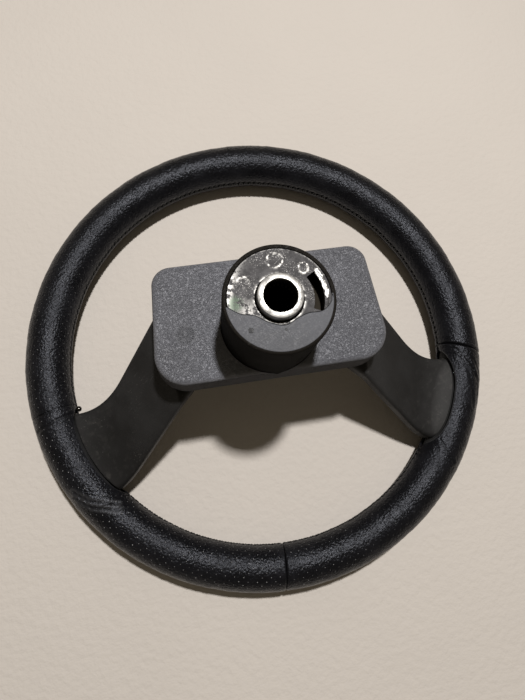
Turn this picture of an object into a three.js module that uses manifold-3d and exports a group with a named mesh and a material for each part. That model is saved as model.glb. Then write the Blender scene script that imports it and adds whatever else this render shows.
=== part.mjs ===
// Two-spoke road-car steering wheel with a laced leather rim, lying on its rim with the hub pointing up.
// Millimetres. Z is the hub axis and points to the steering column; Z = 0 is the plane the rim rests on.
// Y points to the top of the rim and X to the right, seen from behind the wheel.

import * as THREE from 'three';
import { mergeVertices } from 'three/addons/utils/BufferGeometryUtils.js';
import Module from 'manifold-3d';

const wasm = await Module();
wasm.setup();

// ---------------------------------------------------------------- driving dimensions
const GAP = 0.3; // between pieces that touch
const ROUND = 36; // sides of the hub's round pieces
const SMALL_ROUND = 8; // sides of screws, pins, rivets and their holes

const RIM_DIAMETER = 380;
const GRIP_RADIUS = 17.7; // rim tube with its leather
const LEATHER_THICKNESS = 1.9;
const WIRE_RADIUS = 5;
const LACE_RADIUS = 0.9;
const RING_STEP = 7.5; // degrees between sections round the rim
const TUBE_SIDES = 12;
const WIRE_SIDES = 8;
const SEAM_GAP = 0.4; // between neighbouring leather panels, along the rim
const SLIT_ANGLE = 2; // half of the laced slit, degrees round the tube
const SEAM_RIGHT = -8; // leather seams, degrees round the rim
const SEAM_BOTTOM = -93;
const SEAM_LEFT = 189;
const FOOT_TOP = -11.2; // edges of the right spoke's foot, degrees round the rim
const FOOT_BOTTOM = -35.8;
const WINDOW_ABOVE = 4.43; // leather's opening past the spoke's upper edge, along the inside of the grip
const WINDOW_BELOW = 0.2;
const LACING_STOP = 6.48; // between an opening and the end of the lacing
const FOOT_FRONT_EDGE = 140; // leather edge at a foot, degrees round the tube from the outside
const LEFT_FOOT_BACK_EDGE = 138;
const RIGHT_FOOT_BACK_EDGE = 120;

const HOUSING_BACK_Z = 105.7;
const HOUSING_DEPTH = 25;
const HOUSING_HALF_WIDTH = 81; // at the bottom edge
const HOUSING_TOP_NARROWING = 4; // each side, at the top edge
const HOUSING_TOP = 50.5;
const HOUSING_BOTTOM = -34.5;
const HOUSING_TOP_CORNER = 14;
const HOUSING_BOTTOM_CORNER = 22;
const HOUSING_EDGE_ROUND = 6;
const HOUSING_WALL = 2.5;
const HOUSING_DRAFT = 0.6; // each side, from the edge to the back
const SMALLEST_CORNER = 2; // of an outline moved inward

const SPOKE_STEP = 3; // spoke's back below the edge of the housing
const SPOKE_ROOT_THICKNESS = 15;
const SPOKE_FOOT_THICKNESS = 18;
const SPOKE_FOOT_RISE = 9.5; // spoke's back above the rim's centre plane, at the foot
const SPOKE_ROOT_INSIDE = 13; // how far the moulded skin starts inside the housing's side
const SPOKE_UPPER_ROOT = 36.8; // heights of the edges where the skin starts
const SPOKE_LOWER_ROOT = -33;
const SPOKE_ROOT_SLANT = 10; // lower edge starts further in
const SPOKE_UPPER_FLARE = 33; // length of the flare at the foot, upper edge
const SPOKE_UPPER_LIFT = 2; // knee above the foot's end
const SPOKE_LOWER_FLARE = 13;
const SPOKE_LOWER_LIFT = 3;
const SPOKE_EDGE = 4.5; // chamfer of the skin's edges
const KNEE_BEFORE = 0.25; // where a side edge's bend starts and ends, as shares of its two straight lines
const KNEE_AFTER = 0.6;
const FOOT_DEPTH = 0.6; // how far a foot reaches towards the core's centre, as a share of its radius
const FALL_FROM = 0.14; // where the spoke's back slopes down, as shares of its length
const FALL_TO = 0.9;
const ARM_WIDTH = 26;
const ARM_THICKNESS = 3.5;
const ARM_INNER = 32;

const SHROUD_RADIUS = 33.6;
const SHROUD_WALL = 2.5;
const SHROUD_END_Z = 161.9;
const CAP_THICKNESS = 2;
const MARK_DEPTH = 0.4; // ejector marks in the end face
const MARK_SIDES = 16;
const EJECTOR_MARKS = [[0.8, 23.5, 4.3], [-19.7, 12.3, 3.1], [17, 16.6, 2.8]]; // x, y, radius
const FACE_RECESS = 0.5; // casting's end face below the shroud's end
const SLEEVE_RADIUS = 13.6;
const SLEEVE_STAND = 5.3; // sleeve above the shroud's end
const SLEEVE_LENGTH = 75;
const BORE_RADIUS = 9.6;
const SPLINE_DEPTH = 0.8;
const SPLINE_TEETH = 24;
const SPLINE_LAND = 0.35; // width of a tooth's flat and of a gap's floor, in pitches
const CAM_SLOT_INNER = 20.6;
const CAM_SLOT_OUTER = 26.8;
const CAM_SLOT_FROM = -25;
const CAM_SLOT_TO = 31;
const CAM_SLOT_DEPTH = 12;
const CASTING_WALL = 4.2;
const BOSS_WALL = 5;
const POCKET_ROOF = 17; // casting left above the pocket, below the end face
const FLANGE_THICKNESS = 5;
const FLANGE_ABOVE_EDGE = 3.3; // flange's front above the edge of the housing
const FLANGE_HALF_WIDTH = 60;
const FLANGE_TOP = 39;
const FLANGE_CORNER = 8;

const FIXING_TOP = 31; // rows of screws, guide pins and posts
const FIXING_BOTTOM = -18.5;
const COVER_SCREW_X = 52;
const PIN_X = 30;
const PAD_SCREW_X = 40;
const SCREW_RADIUS = 1.8;
const SCREW_HEAD_RADIUS = 3.6;
const SCREW_HEAD_HEIGHT = 2.2;
const SCREW_LENGTH = 12;
const POST_RADIUS = 4;
const RIVET_RADIUS = 2.5;
const RIVET_HEAD_RADIUS = 4;
const RIVET_HEAD_HEIGHT = 2;
const RIVET_EDGE = 1; // round each rivet's head

const HORN_TRAVEL = 3;
const HORN_CLEARANCE = 0.8;
const PAD_FRONT_Z = 38;
const PAD_DRAFT = 15; // degrees
const PAD_NEST = 2; // pad's skirt inside the housing's edge
const PAD_WALL = 3;
const PAD_EDGE_ROUND = 7;
const PAD_FLOOR = 3.5;
const PLATE_BACK_Z = 70;
const PLATE_THICKNESS = 2;
const PLATE_HALF_WIDTH = 46;
const PLATE_MARGIN = 6.5; // beyond the rows of fixings
const PLATE_CORNER = 6;
const PLATE_HOLE_RADIUS = 18;
const PIN_RADIUS = 2.5;
const PIN_HEAD_RADIUS = 5;
const PIN_HEAD_HEIGHT = 2;
const BUSH_WALL = 1.8;
const BUSH_FLANGE_RADIUS = 6;
const BUSH_FLANGE_HEIGHT = 1;
const SPRING_WIRE = 1.2;
const CONTACT_WIDTH = 16;
const CONTACT_DEPTH = 9;
const CONTACT_THICKNESS = 1.2;
const BUTTON_RADIUS = 3;
const INSULATOR_THICKNESS = 1.5;
const CONTACT_Y = 31;

// ---------------------------------------------------------------- derived dimensions
const RIM_RADIUS = RIM_DIAMETER / 2 - GRIP_RADIUS;
const RIM_Z = GRIP_RADIUS;
const GRIP_INSIDE = RIM_RADIUS - GRIP_RADIUS;
const FLAT_LOSS = GRIP_RADIUS * (1 - Math.cos(Math.PI / TUBE_SIDES)); // from the tube's flat sides
const CORE_RADIUS = GRIP_RADIUS - LEATHER_THICKNESS - GAP - FLAT_LOSS;
const HOUSING_EDGE_Z = HOUSING_BACK_Z - HOUSING_DEPTH;
const FLANGE_FRONT_Z = HOUSING_EDGE_Z + FLANGE_ABOVE_EDGE;
const FLANGE_BACK_Z = FLANGE_FRONT_Z + FLANGE_THICKNESS;
const SKIRT_Z = HOUSING_EDGE_Z + PAD_NEST;
const SKIRT_INSET = HOUSING_WALL + HORN_CLEARANCE;
const FLANGE_BOTTOM = HOUSING_BOTTOM + SKIRT_INSET + PAD_WALL + HORN_CLEARANCE;
const BOSS_FRONT_Z = SKIRT_Z + HORN_TRAVEL + HORN_CLEARANCE; // clear of the pressed pad
const FACE_Z = SHROUD_END_Z - FACE_RECESS;
const CASTING_RADIUS = SHROUD_RADIUS - SHROUD_WALL - GAP;
const PLATE_FRONT_Z = PLATE_BACK_Z - PLATE_THICKNESS;
const ARM_BACK_Z = FLANGE_FRONT_Z - GAP;
const FIRST_RIVET_X = SHROUD_RADIUS + RIVET_HEAD_RADIUS + RIVET_EDGE;
const RIVET_XS = [FIRST_RIVET_X, FIRST_RIVET_X + 2 * RIVET_HEAD_RADIUS + RIVET_EDGE];
const ARM_BEND = RIVET_XS.at(-1) + RIVET_HEAD_RADIUS + RIVET_EDGE;
const FIXING_ROWS = [FIXING_TOP, FIXING_BOTTOM];

// ---------------------------------------------------------------- solids
function toSolid(geometry) {
  const bare = geometry.clone();
  bare.deleteAttribute('normal');
  bare.deleteAttribute('uv');
  const merged = mergeVertices(bare, 1e-4);
  const vertProperties = new Float32Array(merged.attributes.position.array);
  const triVerts = new Uint32Array(merged.index.array);
  return new wasm.Manifold(new wasm.Mesh({ numProp: 3, vertProperties, triVerts }));
}

function fromSolid(solid) {
  const mesh = solid.getMesh();
  const geometry = new THREE.BufferGeometry();
  geometry.setAttribute('position', new THREE.BufferAttribute(new Float32Array(mesh.vertProperties), 3));
  geometry.setIndex(new THREE.BufferAttribute(new Uint32Array(mesh.triVerts), 1));
  return geometry;
}

function cut(body, ...tools) {
  return fromSolid(tools.reduce((solid, tool) => solid.subtract(toSolid(tool)), toSolid(body)));
}

function join(body, ...others) {
  return fromSolid(others.reduce((solid, other) => solid.add(toSolid(other)), toSolid(body)));
}

// A closed solid through rings of points. Every ring follows the same flat outline, which shapes both ends.
function loft(rings, outline) {
  const count = outline.length;
  const points = rings.flat();
  const triangles = [];
  for (let ring = 0; ring + 1 < rings.length; ring += 1) {
    for (let k = 0; k < count; k += 1) {
      const a = ring * count + k;
      const b = ring * count + ((k + 1) % count);
      triangles.push([a, b, b + count], [a, b + count, a + count]);
    }
  }
  const last = (rings.length - 1) * count;
  for (const [a, b, c] of THREE.ShapeUtils.triangulateShape(outline, [])) {
    triangles.push([c, b, a], [last + a, last + b, last + c]);
  }
  const inward = signedVolume(points, triangles) < 0;
  const index = triangles.flatMap(([a, b, c]) => (inward ? [c, b, a] : [a, b, c]));
  const geometry = new THREE.BufferGeometry().setFromPoints(points);
  geometry.setIndex(index);
  return geometry;
}

function signedVolume(points, triangles) {
  const cross = new THREE.Vector3();
  const volume = ([a, b, c]) => points[a].dot(cross.crossVectors(points[b], points[c]));
  return triangles.reduce((sum, triangle) => sum + volume(triangle), 0);
}

function place(geometry, x, y, z) {
  return geometry.translate(x, y, z);
}

function cylinder(radius, z0, z1, x = 0, y = 0, sides = ROUND) {
  const geometry = new THREE.CylinderGeometry(radius, radius, z1 - z0, sides);
  geometry.rotateX(Math.PI / 2);
  return place(geometry, x, y, (z0 + z1) / 2);
}

function tube(outer, inner, z0, z1, x = 0, y = 0, sides = ROUND) {
  const profile = [[inner, z0], [outer, z0], [outer, z1], [inner, z1], [inner, z0]];
  const geometry = new THREE.LatheGeometry(profile.map(([r, z]) => new THREE.Vector2(r, z)), sides);
  geometry.rotateX(Math.PI / 2);
  return place(geometry, x, y, 0);
}

function slab(outline, z0, z1) {
  const options = { depth: z1 - z0, bevelEnabled: false };
  return place(new THREE.ExtrudeGeometry(new THREE.Shape(outline), options), 0, 0, z0);
}

// Small upright cylinders at a list of places, for posts and for holes.
function pegs(places, radius, z0, z1) {
  return places.map(([x, y]) => cylinder(radius, z0, z1, x, y, SMALL_ROUND));
}

function box(width, depth, z0, z1, x, y) {
  return place(new THREE.BoxGeometry(width, depth, z1 - z0), x, y, (z0 + z1) / 2);
}

function arcPoints(x, y, radius, fromDegrees, toDegrees, steps) {
  return Array.from({ length: steps + 1 }, (_, k) => {
    const angle = THREE.MathUtils.degToRad(fromDegrees + ((toDegrees - fromDegrees) * k) / steps);
    return new THREE.Vector2(x + radius * Math.cos(angle), y + radius * Math.sin(angle));
  });
}

function roundedRectangle(halfWidth, bottom, top, corner) {
  const x = halfWidth - corner;
  return [
    ...arcPoints(x, top - corner, corner, 0, 90, 3),
    ...arcPoints(-x, top - corner, corner, 90, 180, 3),
    ...arcPoints(-x, bottom + corner, corner, 180, 270, 3),
    ...arcPoints(x, bottom + corner, corner, 270, 360, 3),
  ];
}

// ---------------------------------------------------------------- rim
function ringAngles(from, to, extras = []) {
  const grid = [];
  for (let angle = Math.ceil(from / RING_STEP) * RING_STEP; angle < to; angle += RING_STEP) {
    grid.push(angle);
  }
  const fixed = [from, to, ...extras];
  const kept = grid.filter((angle) => fixed.every((other) => Math.abs(angle - other) > 1));
  return [...fixed, ...kept].sort((a, b) => a - b);
}

function rimPoint(angle, outward, up) {
  const turn = THREE.MathUtils.degToRad(angle);
  const radius = RIM_RADIUS + outward;
  return new THREE.Vector3(radius * Math.cos(turn), radius * Math.sin(turn), RIM_Z + up);
}

// Degrees round the rim of a length along the inside of the grip.
function alongGrip(length) {
  return THREE.MathUtils.radToDeg(length / GRIP_INSIDE);
}

// Sweeps a section round part of the rim. Its points are (outward, up) from the tube's centre.
function sweepRim(angles, section) {
  const rings = angles.map((angle) => section.map((point) => rimPoint(angle, point.x, point.y)));
  return loft(rings, section);
}

function rimTorus(radius, sides = TUBE_SIDES) {
  return place(new THREE.TorusGeometry(RIM_RADIUS, radius, sides, 360 / RING_STEP), 0, 0, RIM_Z);
}

// An open C round the tube, from its front edge over the outside to its back edge.
function wrapSection(inner, outer, frontEdge, backEdge) {
  return [
    ...arcPoints(0, 0, outer, frontEdge, backEdge, TUBE_SIDES),
    ...arcPoints(0, 0, inner, backEdge, frontEdge, TUBE_SIDES),
  ];
}

function leatherPanel(from, to) {
  const seam = THREE.MathUtils.radToDeg(SEAM_GAP / 2 / RIM_RADIUS);
  const edge = 180 - SLIT_ANGLE;
  const inner = (CORE_RADIUS + GAP) / Math.cos(Math.PI / TUBE_SIDES);
  return sweepRim(ringAngles(from + seam, to - seam), wrapSection(inner, GRIP_RADIUS, -edge, edge));
}

// The opening that a spoke's foot needs in the leather.
function footWindow(from, to, backEdge) {
  const section = wrapSection(CORE_RADIUS - 1, GRIP_RADIUS + 1, backEdge, 360 - FOOT_FRONT_EDGE);
  return sweepRim(ringAngles(from, to), section);
}

function lacing(from, to) {
  const outward = -(GRIP_RADIUS + GAP + LACE_RADIUS);
  return sweepRim(ringAngles(from, to), arcPoints(outward, 0, LACE_RADIUS, 0, 300, 5));
}

// ---------------------------------------------------------------- spokes
function spokeEdge(root, knee, foot) {
  const before = knee.clone().lerp(root, KNEE_BEFORE);
  const after = knee.clone().lerp(foot, KNEE_AFTER);
  const path = new THREE.CurvePath();
  path.add(new THREE.LineCurve(root, before));
  path.add(new THREE.QuadraticBezierCurve(before, knee, after));
  path.add(new THREE.LineCurve(after, foot));
  return path;
}

function footPoint(degrees) {
  const radius = RIM_RADIUS - CORE_RADIUS * FOOT_DEPTH;
  const angle = THREE.MathUtils.degToRad(degrees);
  return new THREE.Vector2(radius * Math.cos(angle), radius * Math.sin(angle));
}

const upperFoot = footPoint(FOOT_TOP);
const lowerFoot = footPoint(FOOT_BOTTOM);
const spokeRootX = HOUSING_HALF_WIDTH - SPOKE_ROOT_INSIDE;
const upperEdge = spokeEdge(
  new THREE.Vector2(spokeRootX, SPOKE_UPPER_ROOT),
  new THREE.Vector2(upperFoot.x - SPOKE_UPPER_FLARE, upperFoot.y + SPOKE_UPPER_LIFT),
  upperFoot,
);
const lowerEdge = spokeEdge(
  new THREE.Vector2(spokeRootX - SPOKE_ROOT_SLANT, SPOKE_LOWER_ROOT),
  new THREE.Vector2(lowerFoot.x - SPOKE_LOWER_FLARE, lowerFoot.y + SPOKE_LOWER_LIFT),
  lowerFoot,
);
const SPOKE_STATIONS = [0, 0.14, 0.26, 0.38, 0.5, 0.62, 0.72, 0.8, 0.9, 1];

function spokeBackZ(t) {
  const fall = THREE.MathUtils.clamp((t - FALL_FROM) / (FALL_TO - FALL_FROM), 0, 1);
  return THREE.MathUtils.lerp(HOUSING_EDGE_Z - SPOKE_STEP, RIM_Z + SPOKE_FOOT_RISE, fall);
}

function spokeThickness(t) {
  return THREE.MathUtils.lerp(SPOKE_ROOT_THICKNESS, SPOKE_FOOT_THICKNESS, t);
}

// Where an edge of the right spoke's skin enters the grip, degrees round the rim.
function entryAngle(edge) {
  const points = SPOKE_STATIONS.map((t) => edge.getPointAt(t));
  const next = points.findIndex((point) => point.length() > GRIP_INSIDE);
  const [before, after] = [points[next - 1], points[next]];
  const share = (GRIP_INSIDE - before.length()) / (after.length() - before.length());
  return THREE.MathUtils.radToDeg(before.clone().lerp(after, share).angle()) - 360;
}

// Right spoke's skin, grown on its sides, back and front. Its section is a chamfered rectangle.
function spokeBody(side, back, front) {
  const outline = [];
  const rings = SPOKE_STATIONS.map((t) => {
    const upper = upperEdge.getPointAt(t);
    const lower = lowerEdge.getPointAt(t);
    const across = upper.clone().sub(lower).normalize();
    upper.addScaledVector(across, side);
    lower.addScaledVector(across, -side);
    const top = spokeBackZ(t) + back;
    const bottom = spokeBackZ(t) - spokeThickness(t) - front;
    const inset = SPOKE_EDGE;
    const section = [
      [upper, -inset, bottom], [upper, 0, bottom + inset], [upper, 0, top - inset], [upper, -inset, top],
      [lower, inset, top], [lower, 0, top - inset], [lower, 0, bottom + inset], [lower, inset, bottom],
    ];
    outline.splice(0, outline.length, ...section.map(([edge, shift, z]) => {
      const along = edge.clone().addScaledVector(across, shift).sub(lower).dot(across);
      return new THREE.Vector2(along, z);
    }));
    return section.map(([edge, shift, z]) => {
      const point = edge.clone().addScaledVector(across, shift);
      return new THREE.Vector3(point.x, point.y, z);
    });
  });
  return loft(rings, outline);
}

// Right spoke's steel arm, grown by a margin. It is flat under the flange, then follows the skin to the wire.
function spokeArm(margin) {
  const half = ARM_WIDTH / 2 + margin;
  const thick = ARM_THICKNESS / 2 + margin;
  const flatZ = ARM_BACK_Z - ARM_THICKNESS / 2;
  const north = new THREE.Vector2(0, 1);
  const stations = [
    [new THREE.Vector2(ARM_INNER - margin, 0), north, flatZ],
    [new THREE.Vector2(ARM_BEND, 0), north, flatZ],
  ];
  for (const t of SPOKE_STATIONS) {
    const upper = upperEdge.getPointAt(t);
    const lower = lowerEdge.getPointAt(t);
    const across = upper.clone().sub(lower).normalize();
    const centre = upper.clone().add(lower).multiplyScalar(0.5);
    stations.push([centre, across, spokeBackZ(t) - spokeThickness(t) / 2]);
  }
  const [footCentre, footAcross] = stations.at(-1);
  stations.push([footCentre.clone().setLength(RIM_RADIUS), footAcross, RIM_Z]);
  const outline = [[-half, -thick], [half, -thick], [half, thick], [-half, thick]];
  const rings = stations.map(([centre, across, z]) => outline.map(([side, up]) => {
    const point = centre.clone().addScaledVector(across, side);
    return new THREE.Vector3(point.x, point.y, z + up);
  }));
  return loft(rings, outline.map(([x, y]) => new THREE.Vector2(x, y)));
}

function mirrored(geometry) {
  const copy = mergeVertices(geometry.clone());
  copy.scale(-1, 1, 1);
  const index = Array.from(copy.index.array);
  for (let k = 0; k < index.length; k += 3) {
    [index[k], index[k + 1]] = [index[k + 1], index[k]];
  }
  copy.setIndex(index);
  return copy;
}

// ---------------------------------------------------------------- housing and pad outlines
function housingOutline(inset) {
  const topCorner = Math.max(HOUSING_TOP_CORNER - inset, SMALLEST_CORNER);
  const bottomCorner = Math.max(HOUSING_BOTTOM_CORNER - inset, SMALLEST_CORNER);
  const topX = HOUSING_HALF_WIDTH - HOUSING_TOP_NARROWING - inset - topCorner;
  const bottomX = HOUSING_HALF_WIDTH - inset - bottomCorner;
  const topY = HOUSING_TOP - inset - topCorner;
  const bottomY = HOUSING_BOTTOM + inset + bottomCorner;
  return [
    ...arcPoints(topX, topY, topCorner, 0, 90, 5),
    ...arcPoints(-topX, topY, topCorner, 90, 180, 5),
    ...arcPoints(-bottomX, bottomY, bottomCorner, 180, 270, 5),
    ...arcPoints(bottomX, bottomY, bottomCorner, 270, 360, 5),
  ];
}

// A block through levels of [z, inset] of the housing's outline.
function outlineBlock(levels) {
  const rings = levels.map(([z, inset]) => housingOutline(inset).map((p) => new THREE.Vector3(p.x, p.y, z)));
  return loft(rings, housingOutline(levels[0][1]));
}

function rearCover() {
  const round = HOUSING_EDGE_ROUND;
  const shell = [
    [HOUSING_EDGE_Z, 0],
    [HOUSING_BACK_Z - round, HOUSING_DRAFT],
    [HOUSING_BACK_Z - round * 0.3, round * 0.3],
    [HOUSING_BACK_Z, round],
  ];
  const hollow = [
    [HOUSING_EDGE_Z - 1, HOUSING_WALL],
    [HOUSING_BACK_Z - round, HOUSING_WALL + HOUSING_DRAFT],
    [HOUSING_BACK_Z - HOUSING_WALL, round],
  ];
  const bosses = pegs(COVER_FIXINGS, POST_RADIUS, FLANGE_BACK_Z + GAP, HOUSING_BACK_Z - 1);
  const holeEnd = FLANGE_FRONT_Z + SCREW_LENGTH + 1;
  const screwHoles = pegs(COVER_FIXINGS, SCREW_RADIUS + GAP, HOUSING_EDGE_Z, holeEnd);
  const hubHole = cylinder(SHROUD_RADIUS + GAP, HOUSING_EDGE_Z, HOUSING_BACK_Z + 1);
  return cut(join(cut(outlineBlock(shell), outlineBlock(hollow)), ...bosses), hubHole, ...screwHoles);
}

const COVER_FIXINGS = corners(COVER_SCREW_X);
const PIN_PLACES = corners(PIN_X);
const PAD_FIXINGS = corners(PAD_SCREW_X);
const RIVET_PLACES = RIVET_XS.flatMap((x) => [[-x, 0], [x, 0]]);

function corners(x) {
  return FIXING_ROWS.flatMap((y) => [[-x, y], [x, y]]);
}

// ---------------------------------------------------------------- hub
// Lower part of the shroud's end: a moulded cap with a wavy upper border.
function capOutline(radius, lower) {
  const waves = [
    [-1, -0.03], [-0.79, -0.19], [-0.51, -0.27], [-0.29, -0.42], [0.02, -0.52],
    [0.3, -0.41], [0.5, -0.35], [0.77, -0.34], [0.95, -0.2], [1, -0.02],
  ];
  const spline = new THREE.SplineCurve(waves.map(([x, y]) =>
    new THREE.Vector2(x * CASTING_RADIUS, y * CASTING_RADIUS - lower)));
  const border = spline.getPoints(24).filter((point) => point.length() < radius - 0.5);
  const start = THREE.MathUtils.radToDeg(Math.atan2(border.at(-1).y, border.at(-1).x));
  const end = THREE.MathUtils.radToDeg(Math.atan2(border[0].y, border[0].x));
  return [...border, ...arcPoints(0, 0, radius, start, end > 0 ? end - 360 : end, 24)];
}

function hubShroud() {
  const wall = tube(SHROUD_RADIUS, SHROUD_RADIUS - SHROUD_WALL, FLANGE_BACK_Z + GAP, SHROUD_END_Z);
  const outline = capOutline(SHROUD_RADIUS - SHROUD_WALL / 2, GAP);
  const cap = slab(outline, SHROUD_END_Z - CAP_THICKNESS, SHROUD_END_Z);
  const sleeveHole = cylinder(SLEEVE_RADIUS + GAP * 2, FACE_Z - 10, SHROUD_END_Z + 1);
  return cut(join(wall, cap), sleeveHole);
}

function camSlot() {
  const outline = [
    ...arcPoints(0, 0, CAM_SLOT_OUTER, CAM_SLOT_FROM, CAM_SLOT_TO, 8),
    ...arcPoints(0, 0, CAM_SLOT_INNER, CAM_SLOT_TO, CAM_SLOT_FROM, 8),
  ];
  return slab(outline, FACE_Z - CAM_SLOT_DEPTH, FACE_Z + 5);
}

function hubCasting() {
  const boss = cylinder(CASTING_RADIUS, BOSS_FRONT_Z, FACE_Z);
  const plan = roundedRectangle(FLANGE_HALF_WIDTH, FLANGE_BOTTOM, FLANGE_TOP, FLANGE_CORNER);
  const flange = slab(plan, FLANGE_FRONT_Z, FLANGE_BACK_Z);
  const sleeveHole = cylinder(SLEEVE_RADIUS + GAP, FLANGE_FRONT_Z - 1, SHROUD_END_Z + 5);
  const pocketInner = SLEEVE_RADIUS + GAP + BOSS_WALL;
  const pocketEnd = FACE_Z - POCKET_ROOF;
  const pocket = tube(CASTING_RADIUS - CASTING_WALL, pocketInner, FLANGE_FRONT_Z - 1, pocketEnd);
  const stepZ = SHROUD_END_Z - CAP_THICKNESS - GAP;
  const step = slab(capOutline(CASTING_RADIUS + 2, 0), stepZ, SHROUD_END_Z + 1);
  const holes = [
    ...pegs(COVER_FIXINGS, SCREW_RADIUS + GAP, FLANGE_FRONT_Z - 1, FLANGE_BACK_Z + 1),
    ...pegs(PIN_PLACES, PIN_RADIUS + GAP, FLANGE_FRONT_Z - 1, FLANGE_BACK_Z + 1),
    ...pegs(RIVET_PLACES, RIVET_RADIUS + GAP, FLANGE_FRONT_Z - 1, FLANGE_BACK_Z + 1),
  ];
  const marks = EJECTOR_MARKS.map(([x, y, radius]) =>
    cylinder(radius, FACE_Z - MARK_DEPTH, FACE_Z + 1, x, y, MARK_SIDES));
  return cut(join(boss, flange), sleeveHole, pocket, step, camSlot(), ...holes, ...marks);
}

function splinedSleeve() {
  const end = SHROUD_END_Z + SLEEVE_STAND;
  const bore = [];
  for (let tooth = 0; tooth < SPLINE_TEETH; tooth += 1) {
    const pitch = 360 / SPLINE_TEETH;
    const root = tooth * pitch;
    const tip = (tooth + 0.5) * pitch;
    bore.push(...arcPoints(0, 0, BORE_RADIUS, root, root + SPLINE_LAND * pitch, 1));
    bore.push(...arcPoints(0, 0, BORE_RADIUS - SPLINE_DEPTH, tip, tip + SPLINE_LAND * pitch, 1));
  }
  const outside = cylinder(SLEEVE_RADIUS, end - SLEEVE_LENGTH, end);
  return cut(outside, slab(bore, end - SLEEVE_LENGTH - 1, end + 1));
}

// ---------------------------------------------------------------- fasteners
function screw(x, y, headZ, direction, length) {
  const headEnds = ordered(headZ, headZ - direction * SCREW_HEAD_HEIGHT);
  const shankEnds = ordered(headZ - direction, headZ + direction * length);
  return join(
    cylinder(SCREW_HEAD_RADIUS, ...headEnds, x, y, SMALL_ROUND),
    cylinder(SCREW_RADIUS, ...shankEnds, x, y, SMALL_ROUND),
  );
}

function ordered(a, b) {
  return a < b ? [a, b] : [b, a];
}

function armRivet(x, y) {
  const frontZ = ARM_BACK_Z - ARM_THICKNESS - GAP;
  const backZ = FLANGE_BACK_Z + GAP;
  return join(
    cylinder(RIVET_RADIUS, frontZ - 1, backZ + 1, x, y, SMALL_ROUND),
    cylinder(RIVET_HEAD_RADIUS, frontZ - RIVET_HEAD_HEIGHT, frontZ, x, y, SMALL_ROUND),
    cylinder(RIVET_HEAD_RADIUS, backZ, backZ + RIVET_HEAD_HEIGHT, x, y, SMALL_ROUND),
  );
}

// ---------------------------------------------------------------- horn
const BUSH_OUTER = PIN_RADIUS + GAP + BUSH_WALL;
const SPRING_FRONT_Z = PLATE_BACK_Z + GAP + BUSH_FLANGE_HEIGHT + GAP;
const SPRING_BACK_Z = FLANGE_FRONT_Z - GAP;
const CONTACT_FRONT_Z = FLANGE_FRONT_Z - GAP - INSULATOR_THICKNESS - GAP - CONTACT_THICKNESS;

function guidePin(x, y) {
  const headZ = PLATE_FRONT_Z - GAP;
  const shank = cylinder(PIN_RADIUS, headZ - 1, FLANGE_BACK_Z, x, y, SMALL_ROUND);
  return join(shank, cylinder(PIN_HEAD_RADIUS, headZ - PIN_HEAD_HEIGHT, headZ, x, y, SMALL_ROUND));
}

function hornSpring(x, y) {
  const inner = PIN_RADIUS + HORN_CLEARANCE;
  return tube(inner + SPRING_WIRE, inner, SPRING_FRONT_Z, SPRING_BACK_Z, x, y, SMALL_ROUND);
}

function plateBush(x, y) {
  const inner = PIN_RADIUS + GAP;
  const collarZ = PLATE_BACK_Z + GAP;
  const topZ = collarZ + BUSH_FLANGE_HEIGHT;
  const barrel = tube(BUSH_OUTER, inner, PLATE_FRONT_Z, topZ, x, y, SMALL_ROUND);
  return join(barrel, tube(BUSH_FLANGE_RADIUS, inner, collarZ, topZ, x, y, SMALL_ROUND));
}

function contactPlate(inset, z0, z1) {
  return box(CONTACT_WIDTH - inset * 2, CONTACT_DEPTH - inset * 2, z0, z1, 0, CONTACT_Y);
}

function movingContact() {
  const z = PLATE_BACK_Z + GAP;
  const tip = CONTACT_FRONT_Z - HORN_TRAVEL - GAP;
  const button = cylinder(BUTTON_RADIUS, z + CONTACT_THICKNESS / 2, tip, 0, CONTACT_Y, SMALL_ROUND);
  return join(contactPlate(1, z, z + CONTACT_THICKNESS), button);
}

function hornPlate() {
  const bottom = FIXING_BOTTOM - PLATE_MARGIN;
  const top = FIXING_TOP + PLATE_MARGIN;
  const plan = roundedRectangle(PLATE_HALF_WIDTH, bottom, top, PLATE_CORNER);
  const sheet = slab(plan, PLATE_FRONT_Z, PLATE_BACK_Z);
  const holes = [
    cylinder(PLATE_HOLE_RADIUS, PLATE_FRONT_Z - 1, PLATE_BACK_Z + 1),
    ...pegs(PIN_PLACES, BUSH_OUTER + GAP, PLATE_FRONT_Z - 1, PLATE_BACK_Z + 1),
    ...pegs(PAD_FIXINGS, SCREW_RADIUS + GAP, PLATE_FRONT_Z - 1, PLATE_BACK_Z + 1),
  ];
  return cut(sheet, ...holes);
}

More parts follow.
